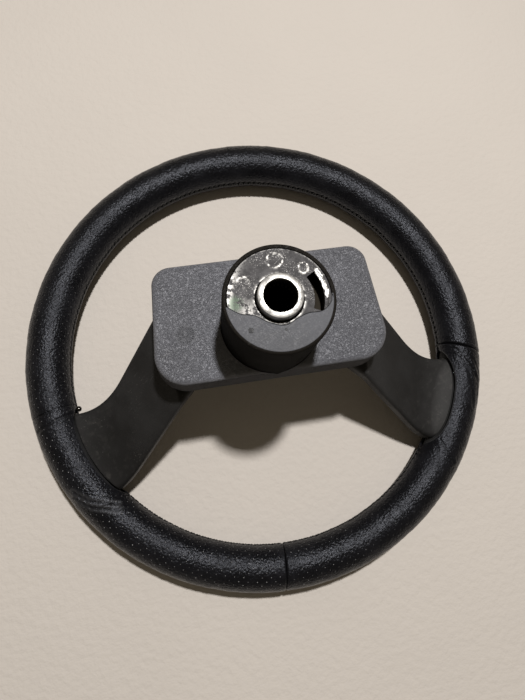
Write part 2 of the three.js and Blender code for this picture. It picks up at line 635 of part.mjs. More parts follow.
function padSkin() {
  const slope = Math.tan(THREE.MathUtils.degToRad(PAD_DRAFT));
  const inset = (z) => SKIRT_INSET + Math.max(0, HOUSING_EDGE_Z - HORN_TRAVEL - z) * slope;
  const shoulderZ = PAD_FRONT_Z + PAD_EDGE_ROUND;
  const kneeZ = HOUSING_EDGE_Z - HORN_TRAVEL;
  const outer = [
    [PAD_FRONT_Z, inset(PAD_FRONT_Z) + PAD_EDGE_ROUND * 0.7],
    [PAD_FRONT_Z + PAD_EDGE_ROUND * 0.3, inset(shoulderZ) + PAD_EDGE_ROUND * 0.2],
    [shoulderZ, inset(shoulderZ)],
    [kneeZ, inset(kneeZ)],
    [SKIRT_Z, SKIRT_INSET],
  ];
  const inner = [
    [PAD_FRONT_Z + PAD_FLOOR, inset(PAD_FRONT_Z) + PAD_EDGE_ROUND * 0.5],
    [shoulderZ, inset(shoulderZ) + PAD_WALL],
    [kneeZ, inset(kneeZ) + PAD_WALL],
    [SKIRT_Z + 1, SKIRT_INSET + PAD_WALL],
  ];
  const posts = pegs(PAD_FIXINGS, POST_RADIUS, PAD_FRONT_Z + 2, PLATE_FRONT_Z - GAP);
  const holeEnd = PLATE_BACK_Z - SCREW_LENGTH - 1;
  const screwHoles = pegs(PAD_FIXINGS, SCREW_RADIUS + GAP, holeEnd, PLATE_BACK_Z);
  const notch = spokeBody(HORN_CLEARANCE, HOUSING_DEPTH, HORN_TRAVEL + HORN_CLEARANCE);
  const shell = join(cut(outlineBlock(outer), outlineBlock(inner)), ...posts);
  return cut(shell, ...screwHoles, notch, mirrored(notch));
}

// ---------------------------------------------------------------- materials
const MATERIALS = {
  leather: [0x1b1c20, 0.55, 0],
  lace: [0x141416, 0.6, 0],
  foam: [0x2b2b2c, 0.9, 0],
  charcoal: [0x303032, 0.7, 0],
  housing: [0x5f6167, 0.6, 0],
  shroud: [0x46474b, 0.5, 0],
  aluminium: [0xb9b8b4, 0.4, 1],
  steel: [0x8f9092, 0.35, 1],
  blackSteel: [0x2a2a2c, 0.5, 1],
  zinc: [0xb8b49a, 0.35, 1],
  brass: [0xb8923f, 0.35, 1],
  nylon: [0xe4e0d2, 0.5, 0],
};

const group = new THREE.Group();

function add(name, material, geometry) {
  const [color, roughness, metalness] = MATERIALS[material];
  const mesh = new THREE.Mesh(geometry, new THREE.MeshStandardMaterial({ color, roughness, metalness }));
  mesh.name = name;
  group.add(mesh);
}

// ---------------------------------------------------------------- assembly
const windowTop = entryAngle(upperEdge) + alongGrip(WINDOW_ABOVE);
const windowBottom = entryAngle(lowerEdge) - alongGrip(WINDOW_BELOW);
const lacingStop = windowBottom - alongGrip(LACING_STOP);
const arm = cut(
  spokeArm(0),
  rimTorus(WIRE_RADIUS + GAP, WIRE_SIDES),
  ...pegs(RIVET_PLACES, RIVET_RADIUS + GAP, ARM_BACK_Z - ARM_THICKNESS - 1, ARM_BACK_Z + 1),
);
const armSpace = spokeArm(GAP);
const skin = cut(spokeBody(0, 0, 0), armSpace, rimTorus(CORE_RADIUS + GAP * 2));

add('rim_wire', 'blackSteel', rimTorus(WIRE_RADIUS, WIRE_SIDES));
add('rim_core', 'foam',
  cut(rimTorus(CORE_RADIUS), rimTorus(WIRE_RADIUS + GAP, WIRE_SIDES), armSpace, mirrored(armSpace)));
add('leather_top', 'leather', leatherPanel(SEAM_RIGHT, SEAM_LEFT));
add('leather_lower_right', 'leather',
  cut(leatherPanel(SEAM_BOTTOM, SEAM_RIGHT), footWindow(windowBottom, windowTop, RIGHT_FOOT_BACK_EDGE)));
add('leather_lower_left', 'leather',
  cut(
    leatherPanel(SEAM_LEFT - 360, SEAM_BOTTOM),
    footWindow(-180 - windowTop, -180 - windowBottom, LEFT_FOOT_BACK_EDGE),
  ));
add('lacing_top', 'lace', lacing(SEAM_RIGHT + 1, SEAM_LEFT - 1));
add('lacing_lower_right', 'lace', lacing(SEAM_BOTTOM + 1, lacingStop));
add('lacing_lower_left', 'lace', lacing(-180 - lacingStop, SEAM_BOTTOM - 1));

add('right_spoke_arm', 'blackSteel', arm);
add('left_spoke_arm', 'blackSteel', mirrored(arm));
add('right_spoke_skin', 'charcoal', skin);
add('left_spoke_skin', 'charcoal', mirrored(skin));

add('hub_casting', 'aluminium', hubCasting());
add('splined_sleeve', 'steel', splinedSleeve());
add('hub_shroud', 'shroud', hubShroud());
add('rear_cover', 'housing', rearCover());
COVER_FIXINGS.forEach(([x, y], k) =>
  add(`cover_screw_${k + 1}`, 'zinc', screw(x, y, FLANGE_FRONT_Z - GAP, 1, SCREW_LENGTH)));
RIVET_PLACES.forEach(([x, y], k) => add(`arm_rivet_${k + 1}`, 'steel', armRivet(x, y)));

PIN_PLACES.forEach(([x, y], k) => add(`guide_pin_${k + 1}`, 'zinc', guidePin(x, y)));
PIN_PLACES.forEach(([x, y], k) => add(`horn_spring_${k + 1}`, 'steel', hornSpring(x, y)));
add('contact_insulator', 'nylon', contactPlate(0, SPRING_BACK_Z - INSULATOR_THICKNESS, SPRING_BACK_Z));
add('fixed_contact', 'brass', contactPlate(1, CONTACT_FRONT_Z, CONTACT_FRONT_Z + CONTACT_THICKNESS));

add('horn_plate', 'zinc', hornPlate());
PIN_PLACES.forEach(([x, y], k) => add(`plate_bush_${k + 1}`, 'nylon', plateBush(x, y)));
PAD_FIXINGS.forEach(([x, y], k) =>
  add(`pad_screw_${k + 1}`, 'zinc', screw(x, y, PLATE_BACK_Z + GAP, -1, SCREW_LENGTH)));
add('moving_contact', 'brass', movingContact());
add('horn_pad', 'housing', padSkin());

export default group;
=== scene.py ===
"""Finished surfaces for a two-spoke steering wheel that lies on its rim with the hub pointing up."""

import math

import bmesh
import bpy
import numpy as np
from bpy.props import FloatProperty, FloatVectorProperty, IntProperty, PointerProperty
from mathutils import Matrix, Vector


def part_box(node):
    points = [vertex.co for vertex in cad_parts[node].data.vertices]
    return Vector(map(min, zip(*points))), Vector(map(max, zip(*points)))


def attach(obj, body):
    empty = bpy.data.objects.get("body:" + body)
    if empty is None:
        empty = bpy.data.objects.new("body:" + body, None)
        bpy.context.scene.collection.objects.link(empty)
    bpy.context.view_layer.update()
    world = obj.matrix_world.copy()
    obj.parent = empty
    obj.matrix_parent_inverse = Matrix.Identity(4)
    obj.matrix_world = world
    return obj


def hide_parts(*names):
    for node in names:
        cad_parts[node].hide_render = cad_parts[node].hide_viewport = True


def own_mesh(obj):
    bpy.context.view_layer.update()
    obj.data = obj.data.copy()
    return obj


bl_info = {
    "name": "Steering Wheel Finish",
    "version": (1, 0, 0),
    "blender": (4, 5, 0),
    "location": "3D View > Sidebar > Steering Wheel",
    "description": "Builds the leather rim, spokes, hub and housing of a two-spoke steering wheel",
    "category": "Object",
}

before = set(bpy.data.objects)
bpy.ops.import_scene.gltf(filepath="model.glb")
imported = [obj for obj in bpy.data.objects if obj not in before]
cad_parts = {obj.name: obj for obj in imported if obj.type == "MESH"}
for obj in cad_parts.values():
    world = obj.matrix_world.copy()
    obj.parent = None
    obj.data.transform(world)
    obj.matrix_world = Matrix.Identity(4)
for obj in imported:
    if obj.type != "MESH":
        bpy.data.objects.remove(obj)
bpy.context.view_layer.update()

MM = 0.001
_, RIM_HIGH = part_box("leather_top")
COVER_LOW, COVER_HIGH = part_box("rear_cover")
SHROUD_LOW, SHROUD_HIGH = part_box("hub_shroud")
CASTING_LOW, CASTING_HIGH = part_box("hub_casting")
SLEEVE_LOW, SLEEVE_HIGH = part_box("splined_sleeve")
PAD_LOW, PAD_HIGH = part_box("horn_pad")

# The rim is a tube of radius GRIP round a circle of radius RIM_RADIUS. Angles round the rim and round its
# tube are in degrees; round the tube, 0 points outwards and 90 to the back.
GRIP = 17.7 * MM
RIM_RADIUS = RIM_HIGH.x - GRIP
RIM_Z = GRIP
LEATHER_INNER = 15.75 * MM
LEATHER_OUTER = GRIP - 0.25 * MM
CORE_RADIUS = 14.9 * MM
SEAM_RIGHT, SEAM_BOTTOM, SEAM_LEFT = -8.0, -93.0, 189.0
# The leather's two edges lie at SLIT and -SLIT round the tube, with the lacing between them
SLIT = 178.0
# The opening for a spoke's foot: from and to round the rim, and its back edge round the tube
RIGHT_FOOT = (-39.2, -9.8, 120.0)
LEFT_FOOT = (-170.2, -141.2, 138.0)
FOOT_FRONT = 140.0
# The right spoke's edges at its foot, in degrees round the rim
FOOT_TOP, FOOT_BOTTOM = -11.2, -35.8
CASTING_RADIUS = 30.8 * MM
# Where the horn pad's screws stand on its posts
PAD_SCREWS = [(-40 * MM, 31 * MM), (40 * MM, 31 * MM), (-40 * MM, -18.5 * MM), (40 * MM, -18.5 * MM)]


# ---------------------------------------------------------------- sizes and colours a user may change
def length(name, description, default, largest=1.0):
    """A length in metres that the user may change."""
    return FloatProperty(name=name, description=description, default=default, min=0.0, max=largest,
                         unit="LENGTH", precision=5)


def tint(name, description, default):
    """A colour that the user may change."""
    return FloatVectorProperty(name=name, description=description, default=default, size=3, min=0.0,
                               max=1.0, subtype="COLOR")


class RimSettings(bpy.types.PropertyGroup):
    lump: length("Lump height", "Height of the soft unevenness of the wrapped leather", 0.07 * MM)
    pucker: length("Pucker height", "Height of the folds that the lacing pulls into the leather", 0.35 * MM)
    hem: length("Hem height", "Height of the rolled hem round a spoke's foot", 0.45 * MM)
    hole_pitch: length("Hole pitch", "Distance between perforations along the rim", 6.7 * MM)
    hole_row: length("Hole row", "Distance between rows of perforations round the tube", 3.4 * MM)
    hole_radius: length("Hole radius", "Radius of a perforation", 0.32 * MM)
    stitch_pitch: length("Stitch pitch", "Length of one zigzag of the lacing", 4.5 * MM)
    thread_radius: length("Thread radius", "Radius of the lacing thread", 0.5 * MM)
    leather: tint("Leather", "Colour of the leather", (0.0055, 0.0055, 0.0068))
    thread: tint("Thread", "Colour of the lacing", (0.008, 0.008, 0.009))


class SpokeSettings(bpy.types.PropertyGroup):
    edge: length("Edge radius", "Rounding of the moulded skin's edges", 4.5 * MM)
    gap: length("Foot gap", "Gap between a spoke's foot and the leather", 0.7 * MM)
    plastic: tint("Plastic", "Colour of the moulded skins", (0.0125, 0.0122, 0.0125))


class HousingSettings(bpy.types.PropertyGroup):
    edge: length("Edge radius", "Rounding of the housing's back edge", 3.8 * MM)
    wall: length("Wall", "Thickness of the housing", 2.5 * MM)
    ticks: IntProperty(name="Ticks", description="Lines of the moulded date mark", default=24, min=3, max=60)
    mark: length("Mark radius", "Radius of the moulded date mark", 6.7 * MM)
    plastic: tint("Plastic", "Colour of the grained housing", (0.232, 0.238, 0.272))


class HubSettings(bpy.types.PropertyGroup):
    round: length("End rounding", "Rounding of the shroud's end", 1.5 * MM)
    chamfer: length("Sleeve chamfer", "Chamfer of the splined sleeve", 0.45 * MM)
    teeth: IntProperty(name="Teeth", description="Splines in the sleeve's bore", default=24, min=6, max=60)
    metal: tint("Casting", "Colour of the die-cast end face", (0.082, 0.08, 0.083))
    worn: tint("Worn metal", "Colour where the casting is rubbed bright", (0.56, 0.55, 0.53))
    # the shroud's colour is the cap's grey plastic darkened with painted shade
    plastic: tint("Plastic", "Colour of the shroud", (0.014, 0.012, 0.010))
    cap: tint("Cap", "Colour of the shroud's end cap", (0.118, 0.122, 0.140))


class HornSettings(bpy.types.PropertyGroup):
    turns: FloatProperty(name="Spring turns", description="Turns of each horn spring", default=5.0, min=2.0,
                         max=12.0)
    wire: length("Spring wire", "Radius of the spring wire", 0.55 * MM)
    badge: length("Badge radius", "Radius of the blank badge on the pad", 17 * MM)
    plastic: tint("Plastic", "Colour of the horn pad", (0.030, 0.031, 0.034))


class StageSettings(bpy.types.PropertyGroup):
    floor: tint("Floor", "Colour of the floor", (0.745, 0.69, 0.64))
    key: FloatProperty(name="Key light", description="Power of the key light", default=22.5, min=0.0,
                       unit="POWER")
    fill: FloatProperty(name="Fill", description="Strength of the light from all round", default=0.11,
                        min=0.0)
    key_size: length("Key size", "Side of the square key light", 0.09, 10.0)


class WheelSettings(bpy.types.PropertyGroup):
    rim: PointerProperty(type=RimSettings)
    spokes: PointerProperty(type=SpokeSettings)
    housing: PointerProperty(type=HousingSettings)
    hub: PointerProperty(type=HubSettings)
    horn: PointerProperty(type=HornSettings)
    stage: PointerProperty(type=StageSettings)


def settings():
    """The sizes and colours of this scene."""
    return bpy.context.scene.steering_wheel


# ---------------------------------------------------------------- meshes
def quads(rows, columns):
    """Quads between neighbouring rows of a grid of points whose columns close on themselves."""
    r, c = np.meshgrid(np.arange(rows - 1), np.arange(columns), indexing="ij")
    after = (c + 1) % columns
    corners = [r * columns + c, r * columns + after, (r + 1) * columns + after, (r + 1) * columns + c]
    return np.stack(corners, -1).reshape(-1, 4).tolist()


def make(name, points, faces, sharp=None):
    """A mesh object with its place in its mesh and its faces pointing outwards."""
    mesh = bpy.data.meshes.new(name)
    mesh.from_pydata(np.asarray(points, float).reshape(-1, 3).tolist(), [], faces)
    work = bmesh.new()
    work.from_mesh(mesh)
    bmesh.ops.remove_doubles(work, verts=work.verts, dist=1e-7)
    bmesh.ops.recalc_face_normals(work, faces=work.faces)
    work.to_mesh(mesh)
    work.free()
    soften(mesh, sharp)
    return linked(name, mesh)


def linked(name, data):
    """An object for a mesh, a light or a camera, put in the scene."""
    thing = bpy.data.objects.new(name, data)
    bpy.context.scene.collection.objects.link(thing)
    return thing


def soften(mesh, sharp=None):
    """Smooth shading, with edges kept sharp past an angle in degrees."""
    mesh.shade_smooth()
    if sharp is not None:
        mesh.set_sharp_from_angle(angle=math.radians(sharp))


def loft(name, rings, sharp=None, capped=True):
    """A closed solid through rings of the same number of points."""
    rings = np.asarray(rings, float)
    rows, columns = rings.shape[:2]
    faces = quads(rows, columns)
    if capped:
        last = (rows - 1) * columns
        faces.append(list(range(columns))[::-1])
        faces.append(list(range(last, last + columns)))
    return make(name, rings, faces, sharp)


def looped(name, rings, sharp=None):
    """A closed solid whose last ring meets its first."""
    rings = np.asarray(rings, float)
    return loft(name, np.concatenate([rings, rings[:1]]), sharp, capped=False)


def circle(radius, z, count, x=0.0, y=0.0):
    """Points round a circle at a height."""
    turn = np.linspace(0, 2 * math.pi, count, endpoint=False)
    return np.stack([x + radius * np.cos(turn), y + radius * np.sin(turn), np.full(count, z)], -1)


def turned(name, profile, count=128, x=0.0, y=0.0, sharp=40):
    """A solid of revolution through a closed profile of (radius, z)."""
    return looped(name, [circle(r, z, count, x, y) for r, z in profile], sharp)


def disc(name, profile, count=128, x=0.0, y=0.0, sharp=40):
    """A full solid of revolution through a profile of (radius, z), closed by flat ends."""
    return loft(name, [circle(r, z, count, x, y) for r, z in profile], sharp)


def peg(name, radius, low, high, count, x=0.0, y=0.0):
    """A plain round peg, mostly a tool that cuts a hole."""
    return disc(name, [(radius, low), (radius, high)], count, x, y)


def finished(thing, sharp=None):
    """Turns what the object's modifiers make into its plain mesh, and removes them."""
    graph = bpy.context.evaluated_depsgraph_get()
    mesh = bpy.data.meshes.new_from_object(thing.evaluated_get(graph), preserve_all_data_layers=True,
                                           depsgraph=graph)
    thing.modifiers.clear()
    thing.data = mesh
    if not mesh.polygons:
        raise RuntimeError(f"{thing.name} came out empty")
    if sharp is not None:
        soften(mesh, sharp)
    return thing


def combined(thing, operation, tools, sharp=30):
    """Adds tools to thing or takes them away, and removes the tools."""
    for tool in tools:
        change = thing.modifiers.new("change", "BOOLEAN")
        change.operation = operation
        change.solver = "EXACT"
        change.object = tool
    bpy.context.view_layer.update()
    finished(thing, sharp)
    for tool in tools:
        bpy.data.objects.remove(tool)
    return thing


def rounded(thing, width, segments=2, limit=35, sharp=40):
    """Rounds the edges that are sharper than limit, in degrees."""
    bevel = thing.modifiers.new("edge", "BEVEL")
    bevel.width = width
    bevel.segments = segments
    bevel.limit_method = "ANGLE"
    bevel.angle_limit = math.radians(limit)
    bevel.use_clamp_overlap = True
    bpy.context.view_layer.update()
    return finished(thing, sharp)


def joined(thing, others):
    """Adds the meshes of others to thing and removes them."""
    merged = bmesh.new()
    for part in [thing, *others]:
        merged.from_mesh(part.data)
    merged.to_mesh(thing.data)
    merged.free()
    for part in others:
        bpy.data.objects.remove(part)
    return thing


def points_of(thing):
    """The places of a mesh's points, one row each."""
    places = np.zeros(len(thing.data.vertices) * 3, np.float32)
    thing.data.vertices.foreach_get("co", places)
    return places.reshape(-1, 3)


def set_mask(thing, name, values):
    """Gives each point of a mesh a number that its material reads."""
    layer = thing.data.attributes.new(name, "FLOAT", "POINT")
    layer.data.foreach_set("value", values.astype(np.float32).ravel())
    return thing


def place(thing, body, slot, material, *nodes):
    """Gives a finished piece its material and its body, and hides the nodes that it stands for; its slot is
    not used.
    """
    thing.data.materials.clear()
    thing.data.materials.append(material)
    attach(thing, body)
    if nodes:
        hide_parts(*nodes)
    return thing


def paint(node, material):
    """Gives a CAD node that stays visible its finish."""
    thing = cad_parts[node]
    thing.data.materials.clear()
    thing.data.materials.append(material)


def shade(colour, factor):
    """A colour made darker or lighter."""
    return tuple(channel * factor for channel in colour)


# ---------------------------------------------------------------- shader building blocks
def add_node(tree, kind, links=None, **values):
    """A node with its properties set from values and its inputs from links, which hold sockets or numbers."""
    made = tree.nodes.new(kind)
    for name, value in values.items():
        setattr(made, name, value)
    for name, value in (links or {}).items():
        socket = made.inputs[name]
        if isinstance(value, bpy.types.NodeSocket):
            tree.links.new(value, socket)
        else:
            socket.default_value = value
    return made


def calc(operation, *parts, clamp=False):
    """A Math node in the tree that its sockets are in."""
    tree = next(part for part in parts if isinstance(part, bpy.types.NodeSocket)).id_data
    links = dict(enumerate(parts))
    return add_node(tree, "ShaderNodeMath", links, operation=operation, use_clamp=clamp).outputs[0]


def plus(first, second, clamp=False):
    """The sum of two sockets or numbers."""
    return calc("ADD", first, second, clamp=clamp)


def minus(first, second):
    """The difference of two sockets or numbers."""
    return calc("SUBTRACT", first, second)


def times(first, second, clamp=False):
    """The product of two sockets or numbers."""
    return calc("MULTIPLY", first, second, clamp=clamp)


def vector_calc(operation, first, second=(0.0, 0.0, 0.0)):
    """A Vector Math node in the tree of its first socket."""
    return add_node(first.id_data, "ShaderNodeVectorMath", {0: first, 1: second}, operation=operation).outputs


def xyz(tree, x=0.0, y=0.0, z=0.0):
    """A vector from its three parts."""
    return add_node(tree, "ShaderNodeCombineXYZ", {0: x, 1: y, 2: z}).outputs[0]


def ramp(value, low, high):
    """0 below low, 1 above high, smooth in between."""
    links = {"Value": value, "From Min": low, "From Max": high}
    return add_node(value.id_data, "ShaderNodeMapRange", links, interpolation_type="SMOOTHSTEP").outputs[0]


def mixed(factor, first, second):
    """A colour between two colours."""
    tree = factor.id_data
    made = add_node(tree, "ShaderNodeMix", {0: factor}, data_type="RGBA")
    for socket, value in zip((made.inputs[6], made.inputs[7]), (first, second)):
        if isinstance(value, bpy.types.NodeSocket):
            tree.links.new(value, socket)
        else:
            socket.default_value = (*value[:3], 1.0)
    return made.outputs[2]


def noise(vector, scale, detail=3.0, roughness=0.55, distortion=0.0):
    """Soft noise between 0 and 1."""
    links = {"Vector": vector, "Scale": scale, "Detail": detail, "Roughness": roughness,
             "Distortion": distortion}
    return add_node(vector.id_data, "ShaderNodeTexNoise", links).outputs["Fac"]


def shader_group(name, inputs, outputs, fill):
    """A node group made once. inputs are (name, type, default), outputs (name, type)."""
    known = bpy.data.node_groups.get(name)
    if known:
        return known
    group = bpy.data.node_groups.new(name, "ShaderNodeTree")
    for label, kind, default in inputs:
        socket = group.interface.new_socket(name=label, in_out="INPUT", socket_type=kind)
        if default is not None:
            socket.default_value = default
    for label, kind in outputs:
        group.interface.new_socket(name=label, in_out="OUTPUT", socket_type=kind)
    source = group.nodes.new("NodeGroupInput")
    sink = group.nodes.new("NodeGroupOutput")
    for label, socket in fill(group, source.outputs).items():
        group.links.new(socket, sink.inputs[label])
    return group


FLOAT, VECTOR = "NodeSocketFloat", "NodeSocketVector"


def pebble_grain():
    """Raised pebbles of leather and moulded grain."""
    def fill(tree, given):
        warp = noise(given["Vector"], given["Warp Scale"], 2.0)
        moved = vector_calc("ADD", given["Vector"], times(warp, given["Warp"]))[0]
        cells = add_node(tree, "ShaderNodeTexVoronoi", {"Vector": moved, "Scale": given["Scale"]},
                         feature="SMOOTH_F1")
        round_top = minus(1.0, cells.outputs["Distance"])
        pores = noise(given["Vector"], times(given["Scale"], 2.7), 3.0, 0.6)
        return {"Height": plus(round_top, times(pores, given["Pores"]))}
    inputs = [("Vector", VECTOR, None), ("Scale", FLOAT, 900.0), ("Warp Scale", FLOAT, 120.0),
              ("Warp", FLOAT, 0.002), ("Pores", FLOAT, 0.5)]
    return shader_group("pebble grain", inputs, [("Height", FLOAT)], fill)


def creased_grain():
    """Fine wandering creases of a moulded skin."""
    def fill(tree, given):
        first = noise(given["Vector"], given["Scale"], 3.0, 0.55, 1.6)
        fold = calc("ABSOLUTE", minus(first, 0.5))
        crease = ramp(fold, 0.0, 0.09)
        fine = noise(given["Vector"], times(given["Scale"], 3.1), 2.0, 0.5)
        height = plus(crease, times(fine, 0.45))
        return {"Height": height, "Crease": crease}
    inputs = [("Vector", VECTOR, None), ("Scale", FLOAT, 500.0)]
    return shader_group("creased grain", inputs, [("Height", FLOAT), ("Crease", FLOAT)], fill)


def mottle():
    """Slow uneven patches."""
    def fill(tree, given):
        value = noise(given["Vector"], given["Scale"], 4.0, 0.6)
        return {"Mask": ramp(value, given["Low"], given["High"])}
    inputs = [("Vector", VECTOR, None), ("Scale", FLOAT, 30.0), ("Low", FLOAT, 0.4), ("High", FLOAT, 0.65)]
    return shader_group("mottle", inputs, [("Mask", FLOAT)], fill)


def dust_specks():
    """Pale specks that gather in patches."""
    def fill(tree, given):
        fine = noise(given["Vector"], given["Scale"], 2.0, 0.5)
        specks = ramp(fine, given["Level"], plus(given["Level"], 0.05))
        slow = noise(given["Vector"], given["Patch Scale"], 3.0, 0.6)
        patches = ramp(slow, 0.42, 0.62)
        return {"Mask": times(specks, patches)}
    inputs = [("Vector", VECTOR, None), ("Scale", FLOAT, 900.0), ("Patch Scale", FLOAT, 30.0),
              ("Level", FLOAT, 0.68)]
    return shader_group("dust specks", inputs, [("Mask", FLOAT)], fill)


def scuffs():
    """Short rubbed streaks along one direction."""
    def fill(tree, given):
        turn = add_node(tree, "ShaderNodeVectorRotate", {"Vector": given["Vector"], "Angle": given["Angle"]},
                        rotation_type="Z_AXIS")
        stretched = vector_calc("MULTIPLY", turn.outputs[0], (1.0, 0.06, 0.3))[0]
        lines = noise(stretched, given["Scale"], 2.0, 0.6)
        streak = ramp(lines, given["Level"], plus(given["Level"], 0.06))
        slow = noise(given["Vector"], given["Patch Scale"], 3.0, 0.6)
        return {"Mask": times(streak, ramp(slow, 0.48, 0.66))}
    inputs = [("Vector", VECTOR, None), ("Scale", FLOAT, 700.0), ("Patch Scale", FLOAT, 35.0),
              ("Angle", FLOAT, 0.6), ("Level", FLOAT, 0.6)]
    return shader_group("scuffs", inputs, [("Mask", FLOAT)], fill)


def round_spot():
    """1 inside a round spot on a flat face, 0 outside."""
    def fill(tree, given):
        away = vector_calc("SUBTRACT", given["Vector"], given["Centre"])[0]
        flat = vector_calc("MULTIPLY", away, (1.0, 1.0, 0.0))[0]
        reach = vector_calc("LENGTH", flat)["Value"]
        inside = ramp(minus(given["Radius"], reach), 0.0, given["Soft"])
        return {"Mask": inside}
    inputs = [("Vector", VECTOR, None), ("Centre", VECTOR, None), ("Radius", FLOAT, 0.01),
              ("Soft", FLOAT, 0.001)]
    return shader_group("round spot", inputs, [("Mask", FLOAT)], fill)


def hole_lattice():
    """Distance to the nearest of a staggered lattice of holes, on a map measured in metres."""
    def fill(tree, given):
        split = add_node(tree, "ShaderNodeSeparateXYZ", {0: given["Vector"]}).outputs
        pair = times(given["Row"], 2.0)
        cells = ((split[0], given["Pitch"]), (split[1], pair))
        reach = []
        for shift in (0.0, 0.5):
            squares = []
            for spot, size in cells:
                whole = plus(calc("DIVIDE", spot, size), 0.5 + shift)
                off = times(minus(calc("FRACT", whole), 0.5), size)
                squares.append(times(off, off))
            reach.append(calc("SQRT", plus(*squares)))
        return {"Reach": calc("MINIMUM", *reach)}
    inputs = [("Vector", VECTOR, None), ("Pitch", FLOAT, 0.0067), ("Row", FLOAT, 0.0034)]
    return shader_group("hole lattice", inputs, [("Reach", FLOAT)], fill)


class Finish:
    """A material with a Principled shader, its Object coordinates and one Bump node."""

    def __init__(self, name, **values):
        self.material = bpy.data.materials.new(name)
        self.material.use_nodes = True
        self.tree = self.material.node_tree
        self.shader = self.tree.nodes["Principled BSDF"]
        self.where = self.tree.nodes.new("ShaderNodeTexCoord").outputs["Object"]
        for label, value in values.items():
            self.shader.inputs[label.replace("_", " ")].default_value = value

    def link(self, label, socket):
        """Joins a socket to an input of the shader."""
        self.tree.links.new(socket, self.shader.inputs[label])

    def bump(self, height, strength, distance):
        """Makes the surface rise and fall by a height."""
        links = {"Height": height, "Strength": strength, "Distance": distance}
        self.link("Normal", add_node(self.tree, "ShaderNodeBump", links).outputs[0])

    def group(self, group, **inputs):
        """Puts a node group on the Object coordinates and returns its outputs."""
        made = self.tree.nodes.new("ShaderNodeGroup")
        made.node_tree = group
        for name, value in {"Vector": self.where, **inputs}.items():
            socket = made.inputs[name.replace("_", " ")]
            if isinstance(value, bpy.types.NodeSocket):
                self.tree.links.new(value, socket)
            else:
                socket.default_value = value
        return made.outputs

    def mask(self, group, **inputs):
        """The mask that a node group makes on the Object coordinates."""
        return self.group(group, **inputs)["Mask"]

    def attribute(self, name):
        """A number that the piece's points carry."""
        return add_node(self.tree, "ShaderNodeAttribute", attribute_name=name).outputs["Fac"]


# ---------------------------------------------------------------- materials
def leather_material():
    """Black pebbled leather with rows of fine holes, rougher and darkened by painted shade along its folds,
    with pale wear and painted highlights on crease lips and hem edges.
    """
    rim = settings().rim
    finish = Finish("leather", Specular_IOR_Level=0.27, Specular_Tint=(0.84, 0.88, 1.0, 1.0))
    grain = finish.group(pebble_grain(), Scale=640.0, Warp_Scale=160.0, Warp=0.0016, Pores=0.5)["Height"]
    patches = finish.mask(mottle(), Scale=42.0, Low=0.38, High=0.68)
    dusty = finish.mask(dust_specks(), Scale=1300.0, Patch_Scale=26.0, Level=0.67)
    surface = add_node(finish.tree, "ShaderNodeUVMap", uv_map="wrap").outputs[0]
    reach = finish.group(hole_lattice(), Vector=surface, Pitch=rim.hole_pitch, Row=rim.hole_row)["Reach"]
    punched = finish.attribute("punched")
    dimple = times(ramp(reach, rim.hole_radius * 2.4, rim.hole_radius), punched)
    colour = mixed(patches, rim.leather, shade(rim.leather, 1.55))
    # painted shade: darker in crease valleys, seams, along the laced slit and behind the hems
    colour = mixed(finish.attribute("fold"), colour, shade(rim.leather, 0.62))
    colour = mixed(times(dusty, 0.4), colour, (0.105, 0.105, 0.11))
    # pale wear together with a painted highlight on crease lips and hem edges
    colour = mixed(finish.attribute("rub"), colour, (0.085, 0.085, 0.09))
    finish.link("Base Color", colour)
    rough = plus(0.27, times(patches, 0.12))
    rough = plus(rough, times(finish.attribute("fold"), 0.12), clamp=True)
    finish.link("Roughness", rough)
    finish.bump(minus(grain, times(dimple, 0.15)), 0.85, 0.48 * MM)
    return finish.material


def perforation_material():
    """The dark bottoms of the holes in the leather, with dust in some of them."""
    finish = Finish("perforations", Roughness=0.9, Specular_IOR_Level=0.05)
    uneven = noise(finish.where, 240.0, 2.0)
    dusty = times(minus(uneven, 0.3), 2.4, clamp=True)
    dust = times(finish.attribute("dust"), dusty, clamp=True)
    finish.link("Base Color", mixed(dust, (0.004, 0.004, 0.005), (0.62, 0.62, 0.64)))
    finish.bump(uneven, 0.3, 0.1 * MM)
    return finish.material


def thread_material():
    """Twisted waxed thread."""
    finish = Finish("lacing thread", Roughness=0.62)
    links = {"Vector": finish.where, "Scale": 900.0, "Distortion": 2.0}
    twist = add_node(finish.tree, "ShaderNodeTexWave", links,
                     wave_type="BANDS", bands_direction="DIAGONAL").outputs["Fac"]
    worn = finish.mask(mottle(), Scale=160.0, Low=0.45, High=0.7)
    finish.link("Base Color", mixed(worn, settings().rim.thread, (0.022, 0.022, 0.024)))
    finish.bump(twist, 0.7, 0.2 * MM)
    return finish.material


def foam_material():
    """Black hard foam with closed cells."""
    finish = Finish("rim foam", Roughness=0.9)
    cells = finish.group(pebble_grain(), Scale=700.0, Warp=0.001, Pores=0.8)["Height"]
    patches = finish.mask(mottle(), Scale=60.0)
    finish.link("Base Color", mixed(patches, (0.008, 0.008, 0.008), (0.016, 0.016, 0.017)))
    finish.bump(cells, 0.6, 0.3 * MM)
    return finish.material


